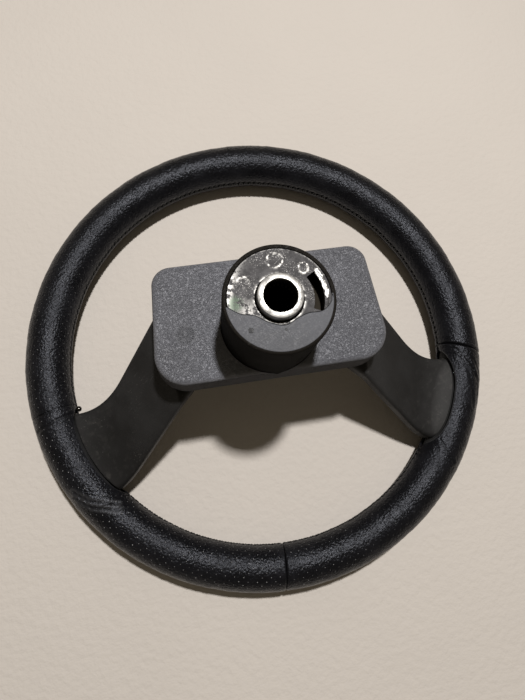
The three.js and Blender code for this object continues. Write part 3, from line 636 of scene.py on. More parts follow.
def spoke_material():
    """Smooth charcoal plastic, chafed next to the rim."""
    finish = Finish("charcoal plastic", Specular_IOR_Level=0.42)
    plastic = settings().spokes.plastic
    grain = finish.group(pebble_grain(), Scale=1500.0, Warp_Scale=260.0, Warp=0.001, Pores=0.9)["Height"]
    patches = finish.mask(mottle(), Scale=22.0, Low=0.36, High=0.66)
    rubbed = finish.mask(scuffs(), Scale=900.0, Patch_Scale=24.0, Angle=0.9, Level=0.62)
    dusty = finish.mask(dust_specks(), Scale=700.0, Patch_Scale=30.0, Level=0.66)
    chafe = finish.mask(mottle(), Scale=190.0, Low=0.5, High=0.72)
    colour = mixed(patches, plastic, shade(plastic, 1.7))
    colour = mixed(times(rubbed, 0.3), colour, (0.09, 0.09, 0.088))
    colour = mixed(times(dusty, 0.35), colour, (0.16, 0.155, 0.145))
    colour = mixed(times(times(finish.attribute("foot"), chafe), 0.22), colour, (0.1, 0.095, 0.09))
    finish.link("Base Color", colour)
    finish.link("Roughness", plus(0.52, times(patches, 0.14)))
    finish.bump(grain, 0.4, 0.16 * MM)
    return finish.material


def grained_plastic(name, plastic, grain_scale, depth, mark=None, gloss=0.5):
    """Moulded plastic with creased grain, painted shade on its sides, and darker inside a round mark (x, y,
    radius).
    """
    finish = Finish(name, Specular_IOR_Level=gloss)
    grain = finish.group(creased_grain(), Scale=grain_scale)
    patches = finish.mask(mottle(), Scale=18.0, Low=0.36, High=0.68)
    dusty = finish.mask(dust_specks(), Scale=850.0, Patch_Scale=28.0, Level=0.66)
    rubbed = finish.mask(scuffs(), Scale=650.0, Patch_Scale=30.0, Angle=1.1, Level=0.61)
    colour = mixed(patches, shade(plastic, 0.88), shade(plastic, 1.14))
    colour = mixed(times(minus(1.0, grain["Crease"]), 0.3), colour, shade(plastic, 0.6))
    colour = mixed(times(dusty, 0.22), colour, (0.33, 0.325, 0.32))
    colour = mixed(times(rubbed, 0.14), colour, (0.3, 0.295, 0.29))
    # painted shade: the sides, faces that turn away from straight up, are darkened
    normal = add_node(finish.tree, "ShaderNodeNewGeometry").outputs["True Normal"]
    facing = add_node(finish.tree, "ShaderNodeSeparateXYZ", {0: normal})
    side = ramp(facing.outputs["Z"], 0.75, 0.25)
    colour = mixed(side, colour, shade(plastic, 0.3))
    if mark is not None:
        spot = finish.mask(round_spot(), Centre=(*mark[:2], 0.0), Radius=mark[2], Soft=0.0009)
        colour = mixed(times(spot, 0.5), colour, shade(plastic, 0.35))
    finish.link("Base Color", colour)
    rough = plus(0.46, times(patches, 0.12))
    finish.link("Roughness", plus(rough, times(side, 0.35), clamp=True))
    finish.bump(grain["Height"], depth, 0.4 * MM)
    return finish.material


def casting_material():
    """Dull die-cast metal, rubbed bright in places, with one green stain and painted shade below its face."""
    hub = settings().hub
    finish = Finish("die casting", Metallic=1.0)
    skin = finish.mask(mottle(), Scale=210.0, Low=0.35, High=0.7)
    speckle = finish.mask(dust_specks(), Scale=1500.0, Patch_Scale=90.0, Level=0.6)
    rubbed = finish.mask(mottle(), Scale=330.0, Low=0.42, High=0.56)
    edge = finish.attribute("rub")
    bright = calc("MAXIMUM", times(edge, rubbed), times(speckle, 0.4))
    solid = times(minus(edge, 1.0), 2.4, clamp=True)
    bright = calc("MAXIMUM", bright, solid)
    stain = finish.mask(round_spot(), Centre=(-0.0262, 0.0, 0.0), Radius=0.0062, Soft=0.004)
    colour = mixed(skin, shade(hub.metal, 0.62), hub.metal)
    colour = mixed(bright, colour, hub.worn)
    green = times(times(stain, rubbed), 0.7)
    colour = mixed(green, colour, (0.11, 0.15, 0.11))
    # painted shade: dark below the face, in the bore, slot, marks and on the sides
    colour = mixed(finish.attribute("deep"), colour, (0.022, 0.019, 0.015))
    finish.link("Base Color", colour)
    finish.link("Roughness", minus(0.62, times(bright, 0.2)))
    finish.bump(plus(skin, noise(finish.where, 1400.0, 3.0)), 0.35, 0.16 * MM)
    return finish.material


def metal(name, colour, rough, brushed=0.25, dull=0.6, shaded_inside=False):
    """Bare or plated metal with dull patches and fine lines, and, when asked, painted shade on its inside
    below a level.
    """
    finish = Finish(name, Metallic=1.0)
    lines = finish.mask(scuffs(), Scale=1100.0, Patch_Scale=90.0, Angle=0.3, Level=0.5)
    patches = finish.mask(mottle(), Scale=170.0, Low=0.4, High=0.68)
    tone = mixed(patches, colour, shade(colour, dull))
    if shaded_inside:
        # painted shade: the inside below a level is darkened
        tone = mixed(finish.attribute("deep"), tone, (0.012, 0.011, 0.010))
    finish.link("Base Color", tone)
    value = plus(rough, times(patches, 0.16))
    finish.link("Roughness", minus(value, times(lines, 0.08)))
    finish.bump(plus(lines, noise(finish.where, 1200.0)), brushed, 0.08 * MM)
    return finish.material


def nylon_material():
    """Yellowed white nylon."""
    finish = Finish("nylon", Roughness=0.45)
    patches = finish.mask(mottle(), Scale=220.0)
    finish.link("Base Color", mixed(patches, (0.74, 0.71, 0.62), (0.62, 0.58, 0.48)))
    finish.bump(noise(finish.where, 1300.0), 0.2, 0.1 * MM)
    return finish.material


def floor_material():
    """A plain pale floor."""
    finish = Finish("floor", Roughness=0.95)
    floor = settings().stage.floor
    slow = finish.mask(mottle(), Scale=5.0, Low=0.3, High=0.7)
    fine = noise(finish.where, 170.0, 4.0)
    base = mixed(slow, floor, shade(floor, 0.97))
    finish.link("Base Color", mixed(times(fine, 0.25), base, shade(floor, 0.9)))
    finish.bump(fine, 0.5, 2 * MM)
    return finish.material


# ---------------------------------------------------------------- leather surface
# Each crease: a path in degrees round the rim and round the tube, its width and its depth in millimetres
CREASES = (
    (((-150.4, 58), (-146.2, 76), (-140.6, 120)), 0.9, 0.9),
    (((-149.2, 52), (-144.6, 72), (-139.2, 112)), 0.9, 0.9),
    (((-167.3, 40), (-167.9, 90), (-168.6, 150)), 1.0, 0.45),
    (((-170.9, 60), (-170.6, 100)), 0.9, 0.4),
    (((-9.6, 118), (-11.6, 92), (-17.5, 48)), 0.9, 0.55),
    (((-9.2, 104), (-12.6, 78), (-21.0, 40)), 0.9, 0.5),
    (((-11.5, 112), (-15.2, 84), (-24.5, 58)), 1.1, 0.45),
    (((-9.6, 86), (-12.4, 64), (-16.5, 34)), 0.8, 0.4),
    (((-36.5, 120), (-38.6, 96), (-40.2, 62)), 1.0, 0.5),
    (((-38.2, 128), (-41.6, 104), (-45.4, 84)), 0.9, 0.45),
)
# How far each seam slants, in degrees
SEAM_SKEWS = ((SEAM_RIGHT, -1.6), (SEAM_BOTTOM, -0.3), (SEAM_BOTTOM + 360, -0.3), (SEAM_LEFT, 0.5),
              (SEAM_LEFT - 360, 0.5))
# How deep each seam is and how much painted shade it takes, by its place in whole degrees
SEAM_DEPTHS = {352: 1.0, 267: 0.7, 189: 0.1}
SEAM_HALF_GAP = 0.16 * MM
# The stretch without holes, and how far holes stay from the leather's edges and from its seams
SMOOTH_ZONE = (-50.0, -8.0)
EDGE_MARGIN, SEAM_MARGIN = 3.0 * MM, 2.6 * MM
# Waves of the soft unevenness: how many round the rim, how many round the tube, and their phase
LUMP_WAVES = ((37, 2, 0.3), (23, 1, 4.1), (61, -3, 1.9), (89, 4, 2.7), (131, -5, 0.9), (173, 3, 5.2))


def opening(angle, foot):
    """How far a foot's opening has opened at an angle round the rim, from 0 to 1."""
    low, high, _ = foot
    off = np.abs(np.asarray(angle, float) - (low + high) / 2) / ((high - low) / 2)
    return np.sqrt(np.clip(1 - off ** 3, 0, 1))


def slit_edges(angle, foot):
    """Front and back edge of the leather round the tube, in degrees."""
    angle = np.asarray(angle, float)
    open_by = opening(angle, foot) if foot else np.zeros_like(angle)
    back_to = foot[2] if foot else SLIT
    return -(SLIT - (SLIT - FOOT_FRONT) * open_by), SLIT - (SLIT - back_to) * open_by


def path_distance(along, across, path):
    """Distance from points to a polyline, all in metres on the unrolled leather."""
    best = np.full(along.shape, 1.0)
    for (ax, ay), (bx, by) in zip(path, path[1:]):
        dx, dy = bx - ax, by - ay
        t = np.clip(((along - ax) * dx + (across - ay) * dy) / (dx * dx + dy * dy), 0, 1)
        best = np.minimum(best, np.hypot(along - ax - t * dx, across - ay - t * dy))
    return best


def unrolled(angle, around):
    """Where a point of the leather lies on the flat, in metres along the rim and across the tube."""
    return RIM_RADIUS * np.radians(angle), GRIP * np.radians(around)


def bump_at(reach, middle, width):
    """A smooth hump across a distance, 1 high at its middle."""
    return np.exp(-((reach - middle) / width) ** 2)


class Relief:
    """Height of the leather above its plain tube, its fold mask for painted shade, and its rub mask for pale
    wear with painted highlights, for a grid of places.
    """

    def __init__(self, angle, around, foot, ends):
        self.angle, self.around = angle, around
        self.along, self.across = unrolled(angle, around)
        self.height, self.fold, self.rub = (np.zeros_like(self.along) for _ in range(3))
        self.lumps()
        for crease in CREASES:
            self.crease(*crease)
        self.laced_edges(foot)
        if foot:
            self.hems(foot)
        for end in ends:
            self.seam(end)
        self.fold, self.rub = np.clip(self.fold, 0, 1), np.clip(self.rub, 0, 1)

    def lumps(self):
        """The soft unevenness of wrapped leather."""
        turn, tilt = np.radians(self.angle), np.radians(self.around)
        for u, v, phase in LUMP_WAVES:
            bend = 0.9 * np.sin(7.3 * turn + phase)
            self.height += settings().rim.lump * np.sin(u * turn + v * tilt + phase + bend) * (25 / u) ** 0.4

    def crease(self, path, width, depth):
        """A fold with a raised lip on both sides, painted shade in its valley, and pale wear with a painted
        highlight on the lips of deep folds.
        """
        line = [unrolled(a, b) for a, b in path]
        reach = path_distance(self.along, self.across, line)
        valley = np.exp(-(reach / (width * MM)) ** 2)
        lip = bump_at(reach, 2.1 * width * MM, 1.1 * width * MM)
        self.height += depth * MM * (0.55 * lip - valley)
        self.fold = np.maximum(self.fold, valley)
        self.rub = np.maximum(self.rub, 0.45 * lip * (depth > 0.6))

    def laced_edges(self, foot):
        """The leather sinks along the slit and puckers where the lacing pulls it, with painted shade along
        the slit that is deeper in the puckers' valleys.
        """
        rim = settings().rim
        inner_radius = RIM_RADIUS - GRIP
        stitch = np.cos(2 * math.pi * inner_radius * np.radians(self.angle) / rim.stitch_pitch)
        open_by = opening(self.angle, foot) if foot else np.zeros_like(self.along)
        laced = 1 - np.clip(open_by * 4, 0, 1)
        for edge, sign in zip(slit_edges(self.angle, foot), (-1, 1)):
            reach = sign * GRIP * np.radians(edge - self.around)
            side = stitch * sign
            self.height += laced * rim.pucker * side * np.exp(-reach / 2.6e-3)
            self.height -= laced * 1.1 * MM * np.exp(-reach / 0.9e-3)
            self.fold = np.maximum(self.fold, laced * np.exp(-reach / 1.2e-3) * (0.6 - 0.4 * side))

    def hems(self, foot):
        """The rolled hem on both edges of a foot's opening, with pale wear and a painted highlight along its
        edge and a band of painted shade behind its roll.
        """
        low, high, _ = foot
        spread = np.linspace(low, high, 61)
        beside = (self.angle > low - 2) & (self.angle < high + 2)
        near = np.clip(opening(np.clip(self.angle, low, high), foot) * 3, 0, 1) * beside
        for edge_row in slit_edges(spread, foot):
            line = list(zip(*unrolled(spread, edge_row)))
            reach = path_distance(self.along, self.across, line)
            roll = settings().rim.hem * bump_at(reach, 1.5e-3, 1.1e-3)
            self.height += near * (roll - 1.0 * MM * np.exp(-reach / 0.45e-3))
            self.rub = np.maximum(self.rub, near * 0.75 * bump_at(reach, 0.7e-3, 0.35e-3))
            self.fold = np.maximum(self.fold, near * bump_at(reach, 3.3e-3, 0.6e-3) * 0.5)

    def seam(self, end):
        """The sewn end of a panel, which sinks and rolls over, with painted shade in the seam."""
        deep = SEAM_DEPTHS[round(end) % 360]
        reach = RIM_RADIUS * np.radians(np.abs(self.angle - end))
        roll = 0.22 * MM * bump_at(reach, 1.9e-3, 1.1e-3)
        self.height += deep * (roll - 1.1 * MM * np.exp(-reach / 0.45e-3))
        self.fold = np.maximum(self.fold, deep * np.exp(-reach / 0.6e-3))


def skewed(angle, around):
    """The rim angle with the slant of the seams."""
    moved = np.array(angle, float)
    for seam, amount in SEAM_SKEWS:
        moved = moved + amount * np.cos(np.radians(around)) * np.exp(-((angle - seam) / 4.0) ** 2)
    return moved


def on_tube(angle, around, radius):
    """Places on the tube, by their angles and their distance from its middle."""
    turn, tilt = np.radians(skewed(angle, around)), np.radians(around)
    reach = RIM_RADIUS + radius * np.cos(tilt)
    return np.stack([reach * np.cos(turn), reach * np.sin(turn), RIM_Z + radius * np.sin(tilt)], -1)


def leather_panel(name, start, end, foot):
    """One laced panel as a closed shell, with its seams, folds, hems and the map that its holes follow."""
    rows = int((end - start) / 0.3) + 1
    columns = 54
    gap = math.degrees(SEAM_HALF_GAP / RIM_RADIUS)
    angle = np.linspace(start + gap, end - gap, rows)[:, None] * np.ones((1, columns))
    front, back = slit_edges(angle, foot)
    share = np.linspace(-1, 1, columns)
    share = (0.5 + 0.5 * np.sign(share) * (1 - (1 - np.abs(share)) ** 1.15))[None, :]
    around = front + (back - front) * share
    relief = Relief(angle, around, foot, (start, end))
    outer = on_tube(angle, around, LEATHER_OUTER + relief.height)
    inner = on_tube(angle, around, np.full_like(angle, LEATHER_INNER))[:, ::-1]
    rings = np.concatenate([outer, inner], axis=1)
    wide = 2 * columns
    faces = quads(rows, wide)
    for base in (0, (rows - 1) * wide):
        faces += [[base + k, base + k + 1, base + wide - 2 - k, base + wide - 1 - k]
                  for k in range(columns - 1)]
    thing = make(name, rings, faces, sharp=70)
    if len(thing.data.vertices) != rows * wide:
        raise RuntimeError(f"{name} lost points when it was closed")

    def on_both_walls(values):
        return np.concatenate([values, values[:, ::-1]], axis=1).ravel()

    lower_right = start == SEAM_BOTTOM
    smooth = (angle > SMOOTH_ZONE[0]) & (angle < SMOOTH_ZONE[1]) & lower_right
    # painted shade in the leather's folds and seams and along its slit and hems
    set_mask(thing, "fold", on_both_walls(relief.fold))
    # pale wear with a painted highlight on crease lips and hem edges
    set_mask(thing, "rub", on_both_walls(relief.rub))
    set_mask(thing, "punched", on_both_walls(np.where(smooth, 0.0, 1.0)))
    flat = np.stack([on_both_walls(part) for part in unrolled(angle, around)], -1)
    corner = np.zeros(len(thing.data.loops), np.int32)
    thing.data.loops.foreach_get("vertex_index", corner)
    layer = thing.data.uv_layers.new(name="wrap")
    layer.data.foreach_set("uv", flat[corner].astype(np.float32).ravel())
    return thing


def hole_points(start, end, foot):
    """Places, normals and dust of the perforations of one panel."""
    rim = settings().rim
    pitch = rim.hole_pitch
    spread = []
    rows = int(GRIP * math.radians(SLIT) / rim.hole_row)
    for row in range(-rows, rows + 1):
        shift = 0.5 * pitch * (row % 2)
        low, high = (RIM_RADIUS * math.radians(a) for a in (start, end))
        for k in range(math.ceil((low - shift) / pitch), math.floor((high - shift) / pitch) + 1):
            spread.append((k * pitch + shift, row * rim.hole_row))
    along, across = np.array(spread).T
    angle, around = np.degrees(along / RIM_RADIUS), np.degrees(across / GRIP)
    front, back = slit_edges(angle, foot)
    margin = math.degrees(EDGE_MARGIN / GRIP)
    keep = (around > front + margin) & (around < back - margin)
    margin = math.degrees(SEAM_MARGIN / RIM_RADIUS)
    keep &= (angle > start + margin) & (angle < end - margin)
    if start == SEAM_BOTTOM:
        keep &= angle < SMOOTH_ZONE[0]
    angle, around = angle[keep], around[keep]

    def surface(a, b):
        return on_tube(a, b, LEATHER_OUTER + Relief(a, b, foot, (start, end)).height)

    here = surface(angle, around)
    normal = np.cross(surface(angle + 0.2, around) - here, surface(angle, around + 1.0) - here)
    normal /= np.linalg.norm(normal, axis=1)[:, None]
    centre = on_tube(angle, around, np.zeros_like(angle))
    normal *= np.sign(((here - centre) * normal).sum(1))[:, None]
    dusty_left = bump_at(np.mod(angle, 360), 215, 62)
    dusty_low = bump_at(np.mod(angle, 360), 262, 30)
    dust = np.clip(0.04 + 0.96 * np.maximum(dusty_left, dusty_low), 0, 1)
    return here, normal, dust


def node_tree(name, inputs):
    """An empty Geometry Nodes tree with named inputs, its group input and its group output."""
    tree = bpy.data.node_groups.new(name, "GeometryNodeTree")
    tree.interface.new_socket(name="Geometry", in_out="INPUT", socket_type="NodeSocketGeometry")
    for label, kind in inputs:
        tree.interface.new_socket(name=label, in_out="INPUT", socket_type=kind)
    tree.interface.new_socket(name="Geometry", in_out="OUTPUT", socket_type="NodeSocketGeometry")
    return tree, tree.nodes.new("NodeGroupInput").outputs, tree.nodes.new("NodeGroupOutput").inputs


def close_tree(tree, instances, material, sink, smooth=True):
    """Ends a tree in real meshes with a material."""
    mesh = add_node(tree, "GeometryNodeRealizeInstances", {"Geometry": instances}).outputs[0]
    if smooth:
        links = {"Geometry": mesh, "Shade Smooth": True}
        mesh = add_node(tree, "GeometryNodeSetShadeSmooth", links).outputs[0]
    painted = add_node(tree, "GeometryNodeSetMaterial", {"Geometry": mesh, "Material": material})
    tree.links.new(painted.outputs[0], sink[0])


def on_circle(reach, turn):
    """The two plan parts of a place on a circle."""
    return times(reach, calc("COSINE", turn)), times(reach, calc("SINE", turn))


def grown(name, tree, values, points=None, attributes=None):
    """A piece made by a tree from its named values, and from points where the tree needs them."""
    mesh = bpy.data.meshes.new(name)
    if points is not None:
        mesh.from_pydata(np.asarray(points).tolist(), [], [])
        for label, value in (attributes or {}).items():
            value = np.asarray(value, np.float32)
            kind, key = ("FLOAT_VECTOR", "vector") if value.ndim == 2 else ("FLOAT", "value")
            mesh.attributes.new(label, kind, "POINT").data.foreach_set(key, value.ravel())
    thing = linked(name, mesh)
    growth = thing.modifiers.new("growth", "NODES")
    growth.node_group = tree
    for label, value in values.items():
        growth[tree.interface.items_tree[label].identifier] = value
    bpy.context.view_layer.update()
    return finished(thing)


def perforation_tree():
    """A small round bottom on every point, turned to face outwards."""
    tree, given, sink = node_tree("perforations", [
        ("Radius", FLOAT), ("Dish", FLOAT), ("Seed", "NodeSocketInt"), ("Material", "NodeSocketMaterial")])
    dish = add_node(tree, "GeometryNodeMeshCone", {
        "Vertices": 8, "Radius Top": times(given["Radius"], 0.55),
        "Radius Bottom": given["Radius"], "Depth": given["Dish"]}, fill_type="NGON")
    facing = add_node(tree, "GeometryNodeInputNamedAttribute", {"Name": "facing"}, data_type="FLOAT_VECTOR")
    turn = add_node(tree, "FunctionNodeAlignRotationToVector", {"Vector": facing.outputs[0]}, axis="Z")
    size = add_node(tree, "FunctionNodeRandomValue", {2: 0.75, 3: 1.15, "Seed": given["Seed"]},
                    data_type="FLOAT")
    spread = add_node(tree, "GeometryNodeInstanceOnPoints", {
        "Points": given["Geometry"], "Instance": dish.outputs["Mesh"], "Rotation": turn.outputs[0],
        "Scale": size.outputs[1]})
    close_tree(tree, spread.outputs[0], given["Material"], sink)
    return tree


def lacing_tree():
    """A zigzag thread along an arc, from single arched stitches."""
    tree, given, sink = node_tree("lacing", [
        ("Reach", FLOAT), ("Level", FLOAT), ("Start", FLOAT), ("Sweep", FLOAT), ("Count", "NodeSocketInt"),
        ("Thread", FLOAT), ("Half Width", FLOAT), ("Tilt", FLOAT), ("Dive", FLOAT),
        ("Material", "NodeSocketMaterial")])
    below = xyz(tree, given["Dive"], 0.0, times(given["Half Width"], -1))
    above = xyz(tree, given["Dive"], 0.0, given["Half Width"])
    middle = xyz(tree, times(given["Dive"], -0.9))
    arch = add_node(tree, "GeometryNodeCurveQuadraticBezier", {
        "Resolution": 7, "Start": below, "Middle": middle, "End": above})
    profile = add_node(tree, "GeometryNodeCurvePrimitiveCircle", {"Resolution": 7, "Radius": given["Thread"]})
    stitch = add_node(tree, "GeometryNodeCurveToMesh", {
        "Curve": arch.outputs[0], "Profile Curve": profile.outputs[0], "Fill Caps": True})
    line = add_node(tree, "GeometryNodeMeshLine", {"Count": given["Count"]})
    index = add_node(tree, "GeometryNodeInputIndex").outputs[0]
    share = calc("DIVIDE", index, minus(given["Count"], 1.0))
    turn = plus(given["Start"], times(share, given["Sweep"]))
    spot = xyz(tree, *on_circle(given["Reach"], turn), given["Level"])
    laid = add_node(tree, "GeometryNodeSetPosition", {"Geometry": line.outputs[0], "Position": spot})
    odd = minus(times(calc("MODULO", index, 2.0), 2.0), 1.0)
    spread = add_node(tree, "GeometryNodeInstanceOnPoints", {
        "Points": laid.outputs[0], "Instance": stitch.outputs[0],
        "Rotation": xyz(tree, times(odd, given["Tilt"]), 0.0, turn)})
    close_tree(tree, spread.outputs[0], given["Material"], sink)
    return tree


def spring_tree():
    """A coil of round wire that stands on its place."""
    tree, given, sink = node_tree("coil spring", [
        ("Coil Radius", FLOAT), ("Wire Radius", FLOAT), ("Height", FLOAT), ("Turns", FLOAT),
        ("Place", VECTOR), ("Material", "NodeSocketMaterial")])
    coil = add_node(tree, "GeometryNodeCurveSpiral", {
        "Resolution": 22, "Rotations": given["Turns"], "Start Radius": given["Coil Radius"],
        "End Radius": given["Coil Radius"], "Height": given["Height"]})
    profile = add_node(tree, "GeometryNodeCurvePrimitiveCircle", {
        "Resolution": 8, "Radius": given["Wire Radius"]})
    wire = add_node(tree, "GeometryNodeCurveToMesh", {
        "Curve": coil.outputs[0], "Profile Curve": profile.outputs[0], "Fill Caps": True})
    moved = add_node(tree, "GeometryNodeTransform", {
        "Geometry": wire.outputs[0], "Translation": given["Place"]})
    close_tree(tree, moved.outputs[0], given["Material"], sink)
    return tree


def ray_tree():
    """Short raised bars that point away from a centre."""
    tree, given, sink = node_tree("date mark rays", [
        ("Count", "NodeSocketInt"), ("Inner", FLOAT), ("Outer", FLOAT), ("Width", FLOAT), ("Rise", FLOAT),
        ("Place", VECTOR), ("Material", "NodeSocketMaterial")])
    size = xyz(tree, minus(given["Outer"], given["Inner"]), given["Width"], given["Rise"])
    bar = add_node(tree, "GeometryNodeMeshCube", {"Size": size})
    line = add_node(tree, "GeometryNodeMeshLine", {"Count": given["Count"]})
    index = add_node(tree, "GeometryNodeInputIndex").outputs[0]
    turn = times(calc("DIVIDE", index, given["Count"]), 2 * math.pi)
    middle = times(plus(given["Outer"], given["Inner"]), 0.5)
    spot = vector_calc("ADD", xyz(tree, *on_circle(middle, turn)), given["Place"])[0]
    laid = add_node(tree, "GeometryNodeSetPosition", {"Geometry": line.outputs[0], "Position": spot})
    spread = add_node(tree, "GeometryNodeInstanceOnPoints", {
        "Points": laid.outputs[0], "Instance": bar.outputs["Mesh"], "Rotation": xyz(tree, 0.0, 0.0, turn)})
    close_tree(tree, spread.outputs[0], given["Material"], sink, smooth=False)
    return tree


# ---------------------------------------------------------------- spokes
# The spoke runs from its root in the housing to its foot in the rim; each side edge turns at a knee
SPOKE_ROOT_X = COVER_HIGH.x - 13 * MM
UPPER_ROOT = np.array([SPOKE_ROOT_X, 36.8 * MM])
LOWER_ROOT = np.array([SPOKE_ROOT_X - 10 * MM, -33 * MM])
FOOT_RADIUS = RIM_RADIUS - CORE_RADIUS * 0.6
UPPER_KNEE_SHIFT = np.array([-33 * MM, 2 * MM])
LOWER_KNEE_SHIFT = np.array([-13 * MM, 3 * MM])
ROOT_Z = COVER_LOW.z - 3 * MM
FOOT_Z = RIM_Z + 9.5 * MM
ROOT_THICKNESS, FOOT_THICKNESS = 15 * MM, 18 * MM
# The skin swells to meet the leather from SWELL_START outwards
SWELL_START, MEETING_RADIUS = 136 * MM, 15.3 * MM
FOOT_WEAR_START, FOOT_WEAR_LENGTH = 0.118, 0.035


def polar(radius, degrees):
    """A place in plan."""
    return np.array([radius * math.cos(math.radians(degrees)), radius * math.sin(math.radians(degrees))])


def side_edge(root, foot, shift):
    """One side edge of the spoke in plan, as a function of its share of length."""
    knee = foot + shift
    before, after = knee + 0.25 * (root - knee), knee + 0.6 * (foot - knee)
    t = np.linspace(0, 1, 60)[:, None]
    bend = (1 - t) ** 2 * before + 2 * t * (1 - t) * knee + t * t * after
    line = np.concatenate([root + np.linspace(0, 1, 60)[:, None] * (before - root), bend[1:],
                           after + np.linspace(0, 1, 30)[1:, None] * (foot - after)])
    run = np.concatenate([[0], np.cumsum(np.linalg.norm(np.diff(line, axis=0), axis=1))])
    return lambda share: np.array([np.interp(share * run[-1], run, line[:, k]) for k in (0, 1)])


def spoke_section(width, height, corner):
    """A rounded rectangle of (along, up)."""
    turn = np.linspace(0, math.pi / 2, 7)
    corner = min(corner, height / 2.3)
    flat = np.linspace(corner, width - corner, 22)
    points = [(x, height) for x in flat[:-1]]
    points += [(width - corner + corner * math.sin(a), height - corner + corner * math.cos(a)) for a in turn]
    points += [(width, y) for y in np.linspace(height - corner, corner, 5)[1:-1]]
    points += [(width - corner + corner * math.cos(a), corner - corner * math.sin(a)) for a in turn]
    points += [(x, 0.0) for x in flat[::-1][1:-1]]
    points += [(corner - corner * math.sin(a), corner - corner * math.cos(a)) for a in turn]
    points += [(0.0, y) for y in np.linspace(corner, height - corner, 5)[1:-1]]
    points += [(corner - corner * math.cos(a), height - corner + corner * math.sin(a)) for a in turn[:-1]]
    return np.array(points)


def eased_fall(share):
    """How far a spoke has come down at a share of its length: straight at first, then easing out to level."""
    fall = max((share - 0.14) / 0.76, 0)
    if fall > 0.75:
        fall = min(fall, 1 - (1.25 - min(fall, 1.25)) ** 2)
    return fall


def spoke_rings(foot, side=0.0, above=0.0, below=0.0, fair=True):
    """Rings of the right spoke's skin from the housing to the rim, grown on its sides, back and front."""
    spokes = settings().spokes
    upper = side_edge(UPPER_ROOT, polar(FOOT_RADIUS, FOOT_TOP), UPPER_KNEE_SHIFT)
    lower = side_edge(LOWER_ROOT, polar(FOOT_RADIUS, FOOT_BOTTOM), LOWER_KNEE_SHIFT)
    rings = []
    shares = np.concatenate([np.linspace(0, 0.86, 56), np.linspace(0.87, 1.0, 26),
                             np.linspace(1.004, 1.05, 12)])
    for share in shares:
        a, b = upper(min(share, 1)), lower(min(share, 1))
        over = max(share - 1, 0) * 130 * MM
        a, b = a + over * a / np.linalg.norm(a), b + over * b / np.linalg.norm(b)
        across = (a - b) / np.linalg.norm(a - b)
        a, b = a + side * across, b - side * across
        top = ROOT_Z + (FOOT_Z - ROOT_Z) * eased_fall(share)
        thick = ROOT_THICKNESS + (FOOT_THICKNESS - ROOT_THICKNESS) * min(share, 1)
        section = spoke_section(np.linalg.norm(a - b), thick + above + below, spokes.edge)
        plan = b + section[:, :1] * across
        level = top - thick - below + section[:, 1]
        lift = np.clip(section[:, 1] / (thick + above + below) * 2 - 1, -1, 1)
        if fair:
            reach = np.linalg.norm(plan, axis=1)
            angle = np.degrees(np.arctan2(plan[:, 1], plan[:, 0]))
            front, back = slit_edges(angle, foot)
            limit = RIM_RADIUS + GRIP * np.cos(np.radians(back)) - spokes.gap
            held = np.minimum(reach, limit)
            plan = plan * (held / reach)[:, None]
            near = np.clip((held - SWELL_START) / (limit - SWELL_START), 0, 1)
            near = near * near * (3 - 2 * near)
            rise = near * np.clip(RIM_Z + MEETING_RADIUS * np.sin(np.radians(back)) - top, 0, None)
            sink = near * np.clip(RIM_Z + MEETING_RADIUS * np.sin(np.radians(front)) - (top - thick), None, 0)
            level = level + np.where(lift > 0, lift * rise, -lift * sink)
        rings.append(np.column_stack([plan, level]))
    return np.array(rings)


def with_foot_mask(thing):
    """Marks the worn end of a spoke next to the rim."""
    reach = np.hypot(*points_of(thing)[:, :2].T)
    return set_mask(thing, "foot", np.clip((reach - FOOT_WEAR_START) / FOOT_WEAR_LENGTH, 0, 1))


# ---------------------------------------------------------------- housing and pad
def arc(x, y, radius, start, end, steps):
    """Points along an arc in plan, between two angles in degrees."""
    turn = np.radians(np.linspace(start, end, steps + 1))
    return np.stack([x + radius * np.cos(turn), y + radius * np.sin(turn)], -1)


def housing_outline(inset, steps=16):
    """The housing's plan moved inward by inset: narrower at its top, with larger corners at its bottom."""
    top_corner = max(14 * MM - inset, 2 * MM)
    bottom_corner = max(22 * MM - inset, 2 * MM)
    top_x = COVER_HIGH.x - 4 * MM - inset - top_corner
    bottom_x = COVER_HIGH.x - inset - bottom_corner
    top_y = COVER_HIGH.y - inset - top_corner
    bottom_y = COVER_LOW.y + inset + bottom_corner
    return np.concatenate([
        arc(top_x, top_y, top_corner, 0, 90, steps), arc(-top_x, top_y, top_corner, 90, 180, steps),
        arc(-bottom_x, bottom_y, bottom_corner, 180, 270, steps),
        arc(bottom_x, bottom_y, bottom_corner, 270, 360, steps)])


def at_level(plan, z):
    """A plan outline lifted to a height."""
    return np.column_stack([plan, np.full(len(plan), z)])


def outline_block(name, levels, sharp=30):
    """A block through levels of (z, inset) of the housing's outline."""
    return loft(name, [at_level(housing_outline(inset), z) for z, inset in levels], sharp)


def quarter(z_edge, z_face, inset_edge, inset_face, steps=8):
    """Levels round an edge, from a side to a face."""
    return [(z_edge + (z_face - z_edge) * math.sin(a),
             inset_edge + (inset_face - inset_edge) * (1 - math.cos(a)))
            for a in np.linspace(0, math.pi / 2, steps + 1)]


# ---------------------------------------------------------------- hub
# Round marks on the casting: x, y and radius in millimetres
EJECTOR_MARKS = ((0.8, 23.5, 4.3), (-19.7, 12.3, 3.1), (17.0, 16.6, 2.8))
# A rub mask above 1 is bright all over, without the speckled border
SOLID_RUB = 1.4
# The upper border of the moulded cap, from left to right, as shares of the casting's radius
CAP_WAVES = ((-1, -0.03), (-0.79, -0.19), (-0.51, -0.27), (-0.29, -0.42), (0.02, -0.52),
             (0.3, -0.41), (0.5, -0.35), (0.77, -0.34), (0.95, -0.2), (1, -0.02))


